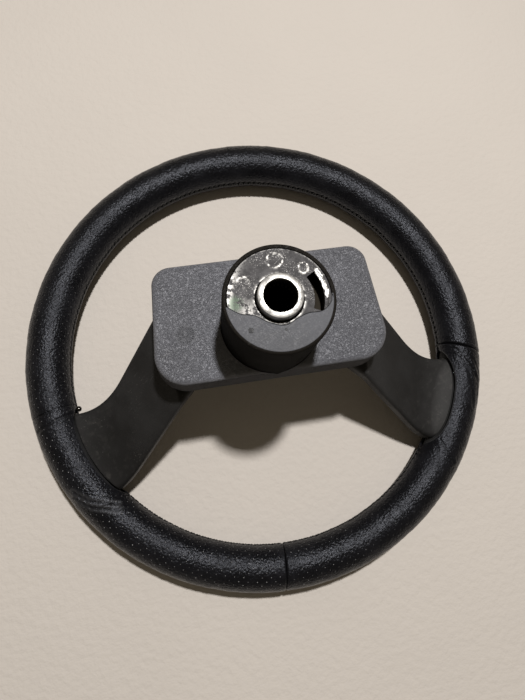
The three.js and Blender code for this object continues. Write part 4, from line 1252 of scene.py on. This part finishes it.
def wavy_border(radius, lower):
    """Plan of the moulded cap: a wavy upper border closed by the lower arc of a circle."""
    knots = np.array(CAP_WAVES) * CASTING_RADIUS
    knots[:, 1] -= lower
    share = np.linspace(0, len(knots) - 1, 120)
    line = []
    for s in share:
        k = min(int(s), len(knots) - 2)
        t = s - k
        p = [knots[min(max(k + d, 0), len(knots) - 1)] for d in (-1, 0, 1, 2)]
        line.append(0.5 * ((2 * p[1]) + (p[2] - p[0]) * t + (2 * p[0] - 5 * p[1] + 4 * p[2] - p[3]) * t * t
                           + (3 * p[1] - p[0] - 3 * p[2] + p[3]) * t ** 3))
    line = np.array([p for p in line if np.linalg.norm(p) < radius - 0.35 * MM])
    start = math.degrees(math.atan2(line[-1][1], line[-1][0]))
    end = math.degrees(math.atan2(line[0][1], line[0][0]))
    end = end - 360 if end > 0 else end
    return np.concatenate([line, arc(0, 0, radius, start, end, 90)])


def slab(name, plan, low, high, sharp=30):
    """A flat block of one outline."""
    return loft(name, [at_level(plan, z) for z in (low, high)], sharp)


def with_rub_mask(thing):
    """Marks where the casting is rubbed bright: its left border, and round its marks, bore and slot."""
    x, y, z = points_of(thing).T
    reach, turn = np.hypot(x, y), np.degrees(np.arctan2(y, x))
    left = bump_at(np.mod(turn - 165, 360), 0, 26) + bump_at(np.mod(turn - 165, 360), 360, 26)
    mask = left * np.clip((reach - 26 * MM) / (4 * MM), 0, 1)
    mask = np.maximum(mask, 0.55 * np.clip((reach - 30.0 * MM) / (0.8 * MM), 0, 1) * (turn > 20))
    for mark_x, mark_y, radius in EJECTOR_MARKS:
        from_mark = np.hypot(x - mark_x * MM, y - mark_y * MM)
        mask = np.maximum(mask, bump_at(from_mark, (radius + 0.25) * MM, 0.4 * MM))
    slot = (np.abs(turn - 13) < 19) & (np.abs(reach - 27.9 * MM) < 1.0 * MM)
    mask = np.maximum(mask, np.where(slot, SOLID_RUB, 0))
    mask = np.maximum(mask, 0.8 * bump_at(reach, 14.6 * MM, 0.9 * MM))
    low_left = np.exp(-(np.hypot(x + 19 * MM, y + 6 * MM) / (6 * MM)) ** 2)
    mask = np.maximum(mask, 0.5 * low_left)
    set_mask(thing, "rub", np.clip(mask, 0, SOLID_RUB))
    # the inside below the face is marked for painted shade
    return with_depth_mask(thing, z.max() - 1.3 * MM)


def with_depth_mask(thing, level):
    """Marks the inside below a level, for painted shade that darkens it."""
    return set_mask(thing, "deep", np.clip((level - points_of(thing)[:, 2]) / (1.2 * MM), 0, 1))


def rounded_top(name, plan, border, low):
    """The rounded top layer of a slab: its plan narrows by border towards the top."""
    ahead, behind = np.roll(plan, -1, 0), np.roll(plan, 1, 0)
    along = ahead - behind
    along /= np.maximum(np.linalg.norm(along, axis=1), 1e-9)[:, None]
    side = np.stack([-along[:, 1], along[:, 0]], -1)
    area = 0.5 * np.sum(plan[:, 0] * ahead[:, 1] - ahead[:, 0] * plan[:, 1])
    inward = side * (1 if area > 0 else -1)
    rings = []
    for a in np.linspace(0, math.pi / 2, 6):
        shift = 0.02 * MM + border * (1 - math.cos(a))
        sunk = 0.3 * MM * (a == 0)
        rings.append(at_level(plan + inward * shift, low - sunk + border * math.sin(a)))
    return loft(name, rings, 40)


def fine_face(thing, level):
    """Divides the flat faces near a level into a fine grid, so that a mask can vary over them."""
    work = bmesh.new()
    work.from_mesh(thing.data)
    for normal in (Vector((1, 0, 0)), Vector((0, 1, 0))):
        for line in range(-30, 31):
            flat = [face for face in work.faces
                    if abs(face.calc_center_median().z - level) < 2.5 * MM and abs(face.normal.z) > 0.99]
            edges = dict.fromkeys(edge for face in flat for edge in face.edges)
            verts = dict.fromkeys(vert for face in flat for vert in face.verts)
            bmesh.ops.bisect_plane(work, geom=[*verts, *edges, *flat], dist=1e-7,
                                   plane_co=normal * (line * 1.03 * MM), plane_no=normal)
    bmesh.ops.triangulate(work, faces=work.faces)
    work.to_mesh(thing.data)
    work.free()
    soften(thing.data, 30)
    return thing


# ---------------------------------------------------------------- operators
class BuildPiece:
    """What every operator of this file shares."""

    bl_options = {"REGISTER"}

    def execute(self, context):
        self.build(context.scene.steering_wheel)
        return {"FINISHED"}


class WHEEL_OT_leather(BuildPiece, bpy.types.Operator):
    """Build the three laced leather panels and their perforations"""

    bl_idname = "steering_wheel.leather"
    bl_label = "Leather Rim"

    def build(self, sizes):
        material = leather_material()
        panels = (("rim_leather_top", "leather_top", SEAM_RIGHT, SEAM_LEFT, None),
                  ("rim_leather_lower_right", "leather_lower_right", SEAM_BOTTOM, SEAM_RIGHT, RIGHT_FOOT),
                  ("rim_leather_lower_left", "leather_lower_left", SEAM_LEFT - 360, SEAM_BOTTOM, LEFT_FOOT))
        spread = []
        for name, node, start, end, foot in panels:
            place(leather_panel(name, start, end, foot), "wheel", "leather", material, node)
            spread.append(hole_points(start, end, foot))
        here, facing, dust = (np.concatenate(part) for part in zip(*spread))
        punched = perforation_material()
        values = {"Radius": sizes.rim.hole_radius, "Dish": 0.07 * MM, "Seed": 7, "Material": punched}
        holes = grown("rim_perforations", perforation_tree(), values, here, {"facing": facing, "dust": dust})
        place(holes, "wheel", "leather", punched)


class WHEEL_OT_lacing(BuildPiece, bpy.types.Operator):
    """Build the zigzag lacing along the inner side of the rim"""

    bl_idname = "steering_wheel.lacing"
    bl_label = "Lacing"

    def build(self, sizes):
        material, tree = thread_material(), lacing_tree()
        runs = (("rim_stitches_top", "lacing_top", SEAM_RIGHT + 1, SEAM_LEFT - 1),
                ("rim_stitches_lower_right", "lacing_lower_right", SEAM_BOTTOM + 1, RIGHT_FOOT[0] - 0.6),
                ("rim_stitches_lower_left", "lacing_lower_left", LEFT_FOOT[1] + 0.6, SEAM_BOTTOM - 1))
        pitch, reach, half_width = sizes.rim.stitch_pitch, RIM_RADIUS - GRIP + 0.35 * MM, 2.6 * MM
        for name, node, start, end in runs:
            sweep = math.radians(end - start)
            values = {"Reach": reach, "Level": RIM_Z, "Start": math.radians(start), "Sweep": sweep,
                      "Count": int(sweep * reach / (pitch / 2)), "Thread": sizes.rim.thread_radius,
                      "Half Width": half_width, "Tilt": math.atan(pitch / 4 / half_width), "Dive": 0.9 * MM,
                      "Material": material}
            place(grown(name, tree, values), "wheel", "lace", material, node)
        profile = [(0.4, -2.3), (1.5, -1.8), (2.2, -0.4), (2.1, 0.9), (1.3, 1.9), (0.4, 2.2)]
        knot = disc("rim_lace_end", [(r * MM, z * MM) for r, z in profile], 20, sharp=None)
        spot = Matrix.Translation((-149.2 * MM, -27.6 * MM, 28.2 * MM))
        knot.data.transform(spot @ Matrix.Rotation(0.7, 4, "X"))
        place(knot, "wheel", "black_steel", metal("lace end", (0.10, 0.095, 0.09), 0.16))


class WHEEL_OT_core(BuildPiece, bpy.types.Operator):
    """Build the foam core under the leather and finish the steel wire inside it"""

    bl_idname = "steering_wheel.core"
    bl_label = "Rim Core"

    def build(self, sizes):
        around = np.linspace(-180, 180, 28, endpoint=False)
        rings = [on_tube(np.full(len(around), angle), around, CORE_RADIUS)
                 for angle in np.linspace(0, 360, 240, endpoint=False)]
        place(looped("rim_foam", rings), "wheel", "rim_foam", foam_material(), "rim_core")
        dark = metal("black steel", (0.16, 0.16, 0.165), 0.42)
        for node in ("rim_wire", "right_spoke_arm", "left_spoke_arm"):
            paint(node, dark)


class WHEEL_OT_spokes(BuildPiece, bpy.types.Operator):
    """Build the moulded skins of both spokes"""

    bl_idname = "steering_wheel.spokes"
    bl_label = "Spokes"

    def build(self, sizes):
        material = spoke_material()
        mirrored_foot = (-180 - LEFT_FOOT[1], -180 - LEFT_FOOT[0], LEFT_FOOT[2])
        right = spoke_rings(RIGHT_FOOT)
        left = spoke_rings(mirrored_foot) * (-1, 1, 1)
        for name, rings, node in (("spoke_skin_right", right, "right_spoke_skin"),
                                  ("spoke_skin_left", left, "left_spoke_skin")):
            place(with_foot_mask(loft(name, rings, 50)), "wheel", "spoke_plastic", material, node)


class WHEEL_OT_housing(BuildPiece, bpy.types.Operator):
    """Build the grained rear cover with its date mark"""

    bl_idname = "steering_wheel.housing"
    bl_label = "Rear Cover"

    def build(self, sizes):
        housing = sizes.housing
        edge_z, back_z, edge, wall = COVER_LOW.z, COVER_HIGH.z, housing.edge, housing.wall
        outer = [(edge_z, 0.9 * MM), (edge_z + 0.25 * MM, 0.35 * MM), (edge_z + 0.8 * MM, 0.03 * MM)]
        outer += quarter(back_z - edge, back_z, 0.6 * MM, edge + 0.8 * MM, 12)
        inner = [(edge_z - 1 * MM, wall + 0.1 * MM), (back_z - edge, wall + 0.7 * MM), (back_z - wall, edge)]
        cover = outline_block("housing_cover", outer)
        hollow = outline_block("hollow", inner)
        bore = peg("bore", SHROUD_HIGH.x + 0.4 * MM, edge_z - 1 * MM, back_z + 1 * MM, 160)
        combined(cover, "DIFFERENCE", [hollow, bore], 28)
        mark = (-57.8 * MM, 0.2 * MM, housing.mark)
        material = grained_plastic("grained housing", housing.plastic, 640.0, 1.0, mark)
        place(cover, "wheel", "housing_plastic", material, "rear_cover")
        self.date_mark(housing, back_z, *mark)

    def date_mark(self, housing, face, x, y, radius):
        """A ring and a dot with plain rays between them."""
        material = grained_plastic("date mark", shade(housing.plastic, 0.55), 900.0, 0.3)
        values = {"Count": housing.ticks, "Inner": 0.35 * radius, "Outer": 0.93 * radius, "Width": 0.32 * MM,
                  "Rise": 0.24 * MM, "Place": (x, y, face), "Material": material}
        rays = grown("housing_date_mark", ray_tree(), values)
        low, high = face - 0.1 * MM, face + 0.14 * MM
        rings = []
        for inner, outer in ((0.2 * MM, 0.16 * radius), (0.95 * radius, 1.03 * radius)):
            profile = [(inner, low), (inner, high), (outer, high), (outer, low)]
            rings.append(turned("mark_ring", profile, 48, x, y))
        place(joined(rays, rings), "wheel", "housing_plastic", material)


class WHEEL_OT_hub(BuildPiece, bpy.types.Operator):
    """Build the shroud, the die-cast hub and the splined sleeve"""

    bl_idname = "steering_wheel.hub"
    bl_label = "Hub"

    def build(self, sizes):
        self.shroud(sizes.hub)
        self.casting()
        self.sleeve(sizes.hub)

    def shroud(self, hub):
        """The moulded collar with its rounded end, coloured with painted shade, and the cap that covers part
        of the casting.
        """
        low, high, outer = SHROUD_LOW.z, SHROUD_HIGH.z, SHROUD_HIGH.x
        inner = outer - 2.5 * MM
        profile = [(inner, low), (outer, low)]
        profile += [(outer - hub.round + hub.round * math.cos(a), high - hub.round + hub.round * math.sin(a))
                    for a in np.linspace(0, math.pi / 2, 9)]
        profile += [(inner, high - 0.35 * MM)]
        wall = turned("hub_collar", profile, 160, sharp=35)
        border = 0.7 * MM
        cap_plan = wavy_border(outer - 1.5 * MM, 0.3 * MM)
        cap = slab("cap", cap_plan, high - 2 * MM, high - border)
        combined(cap, "UNION", [rounded_top("top", cap_plan, border, high - border)], 30)
        hole = peg("hole", SLEEVE_HIGH.x + 0.6 * MM, high - 12 * MM, high + 2 * MM, 96)
        combined(cap, "DIFFERENCE", [hole], 30)
        # the collar's dark colour is painted shade on the cap's grey plastic
        material = grained_plastic("shroud plastic", hub.plastic, 900.0, 0.35, gloss=0.1)
        place(wall, "wheel", "shroud_plastic", material, "hub_shroud")
        place(cap, "wheel", "shroud_plastic", grained_plastic("cap plastic", hub.cap, 900.0, 0.3))
        small = peg("hub_cap_dots", 0.9 * MM, high - 0.25 * MM, high + 0.02 * MM, 24, 0.5 * MM, -19.1 * MM)
        large = peg("dot", 1.7 * MM, high - 0.25 * MM, high + 0.04 * MM, 28, -19.5 * MM, -16.9 * MM)
        place(joined(small, [large]), "wheel", "shroud_plastic",
              grained_plastic("cap marks", shade(hub.cap, 0.3), 900.0, 0.3))

    def casting(self):
        """The die-cast boss with its flange, its slot, its round marks and the step under the cap."""
        face, front = CASTING_HIGH.z, CASTING_LOW.z
        edge = 0.3 * MM
        boss = disc("hub_die_casting", [(CASTING_RADIUS, front + 2.5 * MM), (CASTING_RADIUS, face - edge),
                                        (CASTING_RADIUS - edge, face)], 160)
        right, top, bottom = CASTING_HIGH.x, CASTING_HIGH.y, -27.4 * MM
        plan = np.array([(right, top), (-right, top), (-right, bottom), (right, bottom)])
        flange = rounded(slab("flange", plan, front, front + 5 * MM), 3 * MM, 3, 60)
        combined(boss, "UNION", [flange])
        hole = SLEEVE_HIGH.x + 0.3 * MM
        bore = peg("bore", hole, front - 2 * MM, face + 4 * MM, 96)
        sink = disc("sink", [(hole, face - 3 * MM), (SLEEVE_HIGH.x + 1.5 * MM, face + 1 * MM)], 96)
        pocket = turned("pocket", [(19 * MM, front - 2 * MM), (26.6 * MM, front - 2 * MM),
                                   (26.6 * MM, face - 17 * MM), (19 * MM, face - 17 * MM)], 96)
        step = slab("step", wavy_border(CASTING_RADIUS + 2 * MM, 0), SHROUD_HIGH.z - 2.3 * MM, face + 4 * MM)
        slot_plan = np.concatenate([arc(0, 0, 26.8 * MM, -25, 31, 30), arc(0, 0, 20.6 * MM, 31, -25, 30)])
        slot = rounded(slab("slot", slot_plan, face - 12 * MM, face + 5 * MM), 1.2 * MM, 4, 60)
        ledge_plan = np.concatenate([arc(0, 0, 28.6 * MM, -21, 30, 30), arc(0, 0, 26 * MM, 30, -21, 30)])
        ledge = slab("ledge", ledge_plan, face - 1.1 * MM, face + 5 * MM)
        marks = [peg("mark", radius * MM, face - 0.4 * MM, face + 1 * MM, 40, x * MM, y * MM)
                 for x, y, radius in EJECTOR_MARKS]
        combined(boss, "DIFFERENCE", [bore, sink, pocket, step, slot, ledge, *marks], 30)
        boss = with_rub_mask(fine_face(boss, face))
        place(boss, "wheel", "die_cast", casting_material(), "hub_casting")

    def sleeve(self, hub):
        """The steel sleeve: a plain counterbore, then splines."""
        low, high, outer = SLEEVE_LOW.z, SLEEVE_HIGH.z, SLEEVE_HIGH.x
        count = hub.teeth * 10
        wave = np.mod(np.arange(count) / 10 + 0.05, 1.0)
        tooth = np.clip(np.minimum(wave - 0.35, 0.95 - wave) / 0.12, 0, 1)
        splines = (9.6 - 0.8 * tooth) * MM
        plain = np.full(count, 9.9 * MM)
        turn = np.linspace(0, 2 * math.pi, count, endpoint=False)
        edge, corner = hub.chamfer, 0.35 * MM
        profile = [(outer - corner, low), (outer, low + corner), (outer, high - edge),
                   (outer - edge * 0.35, high - edge * 0.3), (outer - edge * 0.9, high),
                   (plain + 0.4 * MM, high), (plain, high - 0.4 * MM), (plain, high - 9 * MM),
                   (splines, high - 9.6 * MM), (splines, low + 0.9 * MM), (plain + 0.3 * MM, low)]
        rings = [np.stack([radius * np.cos(turn), radius * np.sin(turn), np.full(count, z)], -1)
                 for radius, z in profile]
        # painted shade darkens the sleeve below its top
        sleeve = with_depth_mask(looped("hub_splined_sleeve", rings, 30), high - 1.6 * MM)
        steel = metal("bright steel", (0.5, 0.49, 0.475), 0.36, brushed=0.4, dull=0.4, shaded_inside=True)
        place(sleeve, "wheel", "bright_steel", steel, "splined_sleeve")


class WHEEL_OT_horn(BuildPiece, bpy.types.Operator):
    """Build the horn pad, its blank badge and its coil springs, and finish the plate under it"""

    bl_idname = "steering_wheel.horn"
    bl_label = "Horn"

    def build(self, sizes):
        self.pad(sizes.horn)
        tree = spring_tree()
        steel = metal("spring steel", (0.55, 0.55, 0.56), 0.3)
        wire = sizes.horn.wire
        for number in range(1, 5):
            node = f"horn_spring_{number}"
            low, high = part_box(node)
            x, y, tall = (low.x + high.x) / 2, (low.y + high.y) / 2, high.z - low.z
            values = {"Coil Radius": (high.x - low.x) / 2 - wire, "Wire Radius": wire,
                      "Height": tall - 2 * wire, "Turns": sizes.horn.turns,
                      "Place": (x, y, low.z + wire), "Material": steel}
            spring = grown(f"coil_spring_{number}", tree, values)
            place(spring, "wheel", "bright_steel", steel, node)
            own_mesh(spring)
        zinc = metal("zinc plate", (0.62, 0.60, 0.50), 0.3, 0.3, 0.75)
        bolts = metal("zinc screws", (0.56, 0.54, 0.47), 0.3, 0.3, 0.7)
        brass = metal("contact brass", (0.62, 0.45, 0.17), 0.26)
        steel_dark = metal("rivet steel", (0.42, 0.42, 0.43), 0.36)
        nylon = nylon_material()
        paint("horn_plate", zinc)
        for number in range(1, 5):
            for stem in ("cover_screw", "guide_pin", "pad_screw"):
                paint(f"{stem}_{number}", bolts)
            paint(f"plate_bush_{number}", nylon)
            paint(f"arm_rivet_{number}", steel_dark)
        paint("contact_insulator", nylon)
        for node in ("fixed_contact", "moving_contact"):
            paint(node, brass)

    def pad(self, horn):
        """The hollow pad with its slanted walls, notches for the spokes and screw posts, and its badge."""
        skirt_z, front_z = PAD_HIGH.z, PAD_LOW.z
        slope = math.tan(math.radians(15))
        knee_z, skirt = COVER_LOW.z - 3 * MM, 3.3 * MM
        shoulder = front_z + 7 * MM

        def inset(z):
            return skirt + max(0.0, knee_z - z) * slope

        edge = inset(front_z)
        front = [(front_z + 1.3 * MM, edge + 17 * MM), (front_z + 1.2 * MM, edge + 12.6 * MM),
                 (front_z + 0.3 * MM, edge + 11.4 * MM), (front_z, edge + 10.2 * MM)]
        front += quarter(shoulder, front_z, inset(shoulder), edge + 5.5 * MM, 10)[::-1]
        outer = front + [(z, inset(z)) for z in np.linspace(shoulder, knee_z, 8)[1:]] + [(skirt_z, skirt)]
        inner = [(front_z + 3.5 * MM, edge + 3.5 * MM), (shoulder, inset(shoulder) + 3 * MM),
                 (knee_z, inset(knee_z) + 3 * MM), (skirt_z + 1 * MM, skirt + 3 * MM)]
        pad = outline_block("horn_pad_skin", outer, 35)
        hollow = outline_block("hollow", inner)
        notch = spoke_rings(RIGHT_FOOT, 0.8 * MM, 25 * MM, 3.8 * MM, fair=False)
        combined(pad, "DIFFERENCE", [hollow, loft("notch", notch), loft("notch", notch * (-1, 1, 1))], 35)
        posts = [peg("post", 4 * MM, front_z + 2 * MM, 67.7 * MM, 24, x, y) for x, y in PAD_SCREWS]
        holes = [peg("hole", 2.1 * MM, 57 * MM, 70 * MM, 20, x, y) for x, y in PAD_SCREWS]
        combined(pad, "UNION", posts, 35)
        combined(pad, "DIFFERENCE", holes, 35)
        material = grained_plastic("pad plastic", horn.plastic, 600.0, 0.6)
        place(pad, "pad", "pad_plastic", material, "horn_pad")
        r, z = horn.badge, front_z + 1.3 * MM
        profile = [(r, z), (r, z - 0.7 * MM), (r - 0.5 * MM, z - 1.2 * MM), (r - 1.8 * MM, z - 1.2 * MM),
                   (r - 2.4 * MM, z - 0.7 * MM), (r * 0.5, z - 0.85 * MM), (0.3 * MM, z - 0.9 * MM)]
        badge = disc("horn_pad_badge", profile, 96, 0, 8 * MM, 35)
        place(badge, "pad", "pad_plastic", grained_plastic("badge", (0.05, 0.051, 0.055), 1500.0, 0.15))


# The stage, in metres and degrees; the lens in millimetres
FLOOR_REACH = 3.0
KEY_PLACE, KEY_TARGET = (0.16, 0.42, 1.60), (0.0, 0.0, 0.05)
CAMERA_PLACE, CAMERA_TURN = (-0.04915, -0.08725, 0.45020), (12.30086, -4.82576, -9.32033)
CAMERA_LENS = 27.05


class WHEEL_OT_stage(BuildPiece, bpy.types.Operator):
    """Build the floor, the soft studio light and the camera"""

    bl_idname = "steering_wheel.stage"
    bl_label = "Stage"

    def build(self, sizes):
        stage = sizes.stage
        plan = [(x * FLOOR_REACH, y * FLOOR_REACH, 0) for x, y in ((-1, -1), (1, -1), (1, 1), (-1, 1))]
        mesh = bpy.data.meshes.new("floor")
        mesh.from_pydata(plan, [], [(0, 1, 2, 3)])
        mesh.materials.append(floor_material())
        floor = linked("floor", mesh)

        light = bpy.data.lights.new("key", "AREA")
        light.energy, light.size, light.color = stage.key, stage.key_size, (1.0, 0.975, 0.94)
        key = linked("key", light)
        key.location = KEY_PLACE
        key.rotation_euler = (Vector(KEY_TARGET) - key.location).to_track_quat("-Z", "Y").to_euler()

        world = bpy.data.worlds.new("studio")
        world.use_nodes = True
        backdrop = world.node_tree.nodes["Background"]
        backdrop.inputs["Color"].default_value = (1.0, 0.86, 0.64, 1.0)
        backdrop.inputs["Strength"].default_value = stage.fill
        bpy.context.scene.world = world
        bpy.context.scene.view_settings.view_transform = "Standard"

        lens = bpy.data.cameras.new("camera")
        lens.lens, lens.sensor_width = CAMERA_LENS, 36.0
        camera = linked("camera", lens)
        camera.location = CAMERA_PLACE
        camera.rotation_euler = [math.radians(angle) for angle in CAMERA_TURN]
        bpy.context.scene.camera = camera


class WHEEL_PT_panel(bpy.types.Panel):
    """Lists the pieces of the steering wheel and their sizes"""

    bl_idname = "WHEEL_PT_panel"
    bl_label = "Steering Wheel"
    bl_space_type = "VIEW_3D"
    bl_region_type = "UI"
    bl_category = "Steering Wheel"

    def draw(self, context):
        sizes = context.scene.steering_wheel
        for operator, group in PIECES:
            box = self.layout.box()
            box.operator(operator.bl_idname)
            for name in getattr(sizes, group).bl_rna.properties.keys():
                if name not in ("rna_type", "name"):
                    box.prop(getattr(sizes, group), name)


PIECES = (
    (WHEEL_OT_leather, "rim"),
    (WHEEL_OT_lacing, "rim"),
    (WHEEL_OT_core, "rim"),
    (WHEEL_OT_spokes, "spokes"),
    (WHEEL_OT_housing, "housing"),
    (WHEEL_OT_hub, "hub"),
    (WHEEL_OT_horn, "horn"),
    (WHEEL_OT_stage, "stage"),
)
CLASSES = (RimSettings, SpokeSettings, HousingSettings, HubSettings, HornSettings, StageSettings,
           WheelSettings, *(operator for operator, _ in PIECES), WHEEL_PT_panel)


def register():
    for made in CLASSES:
        bpy.utils.register_class(made)
    bpy.types.Scene.steering_wheel = PointerProperty(type=WheelSettings)


def unregister():
    del bpy.types.Scene.steering_wheel
    for made in reversed(CLASSES):
        bpy.utils.unregister_class(made)


def main():
    register()
    for operator, _ in PIECES:
        group, name = operator.bl_idname.split(".")
        getattr(getattr(bpy.ops, group), name)()


if __name__ == "__main__":
    main()
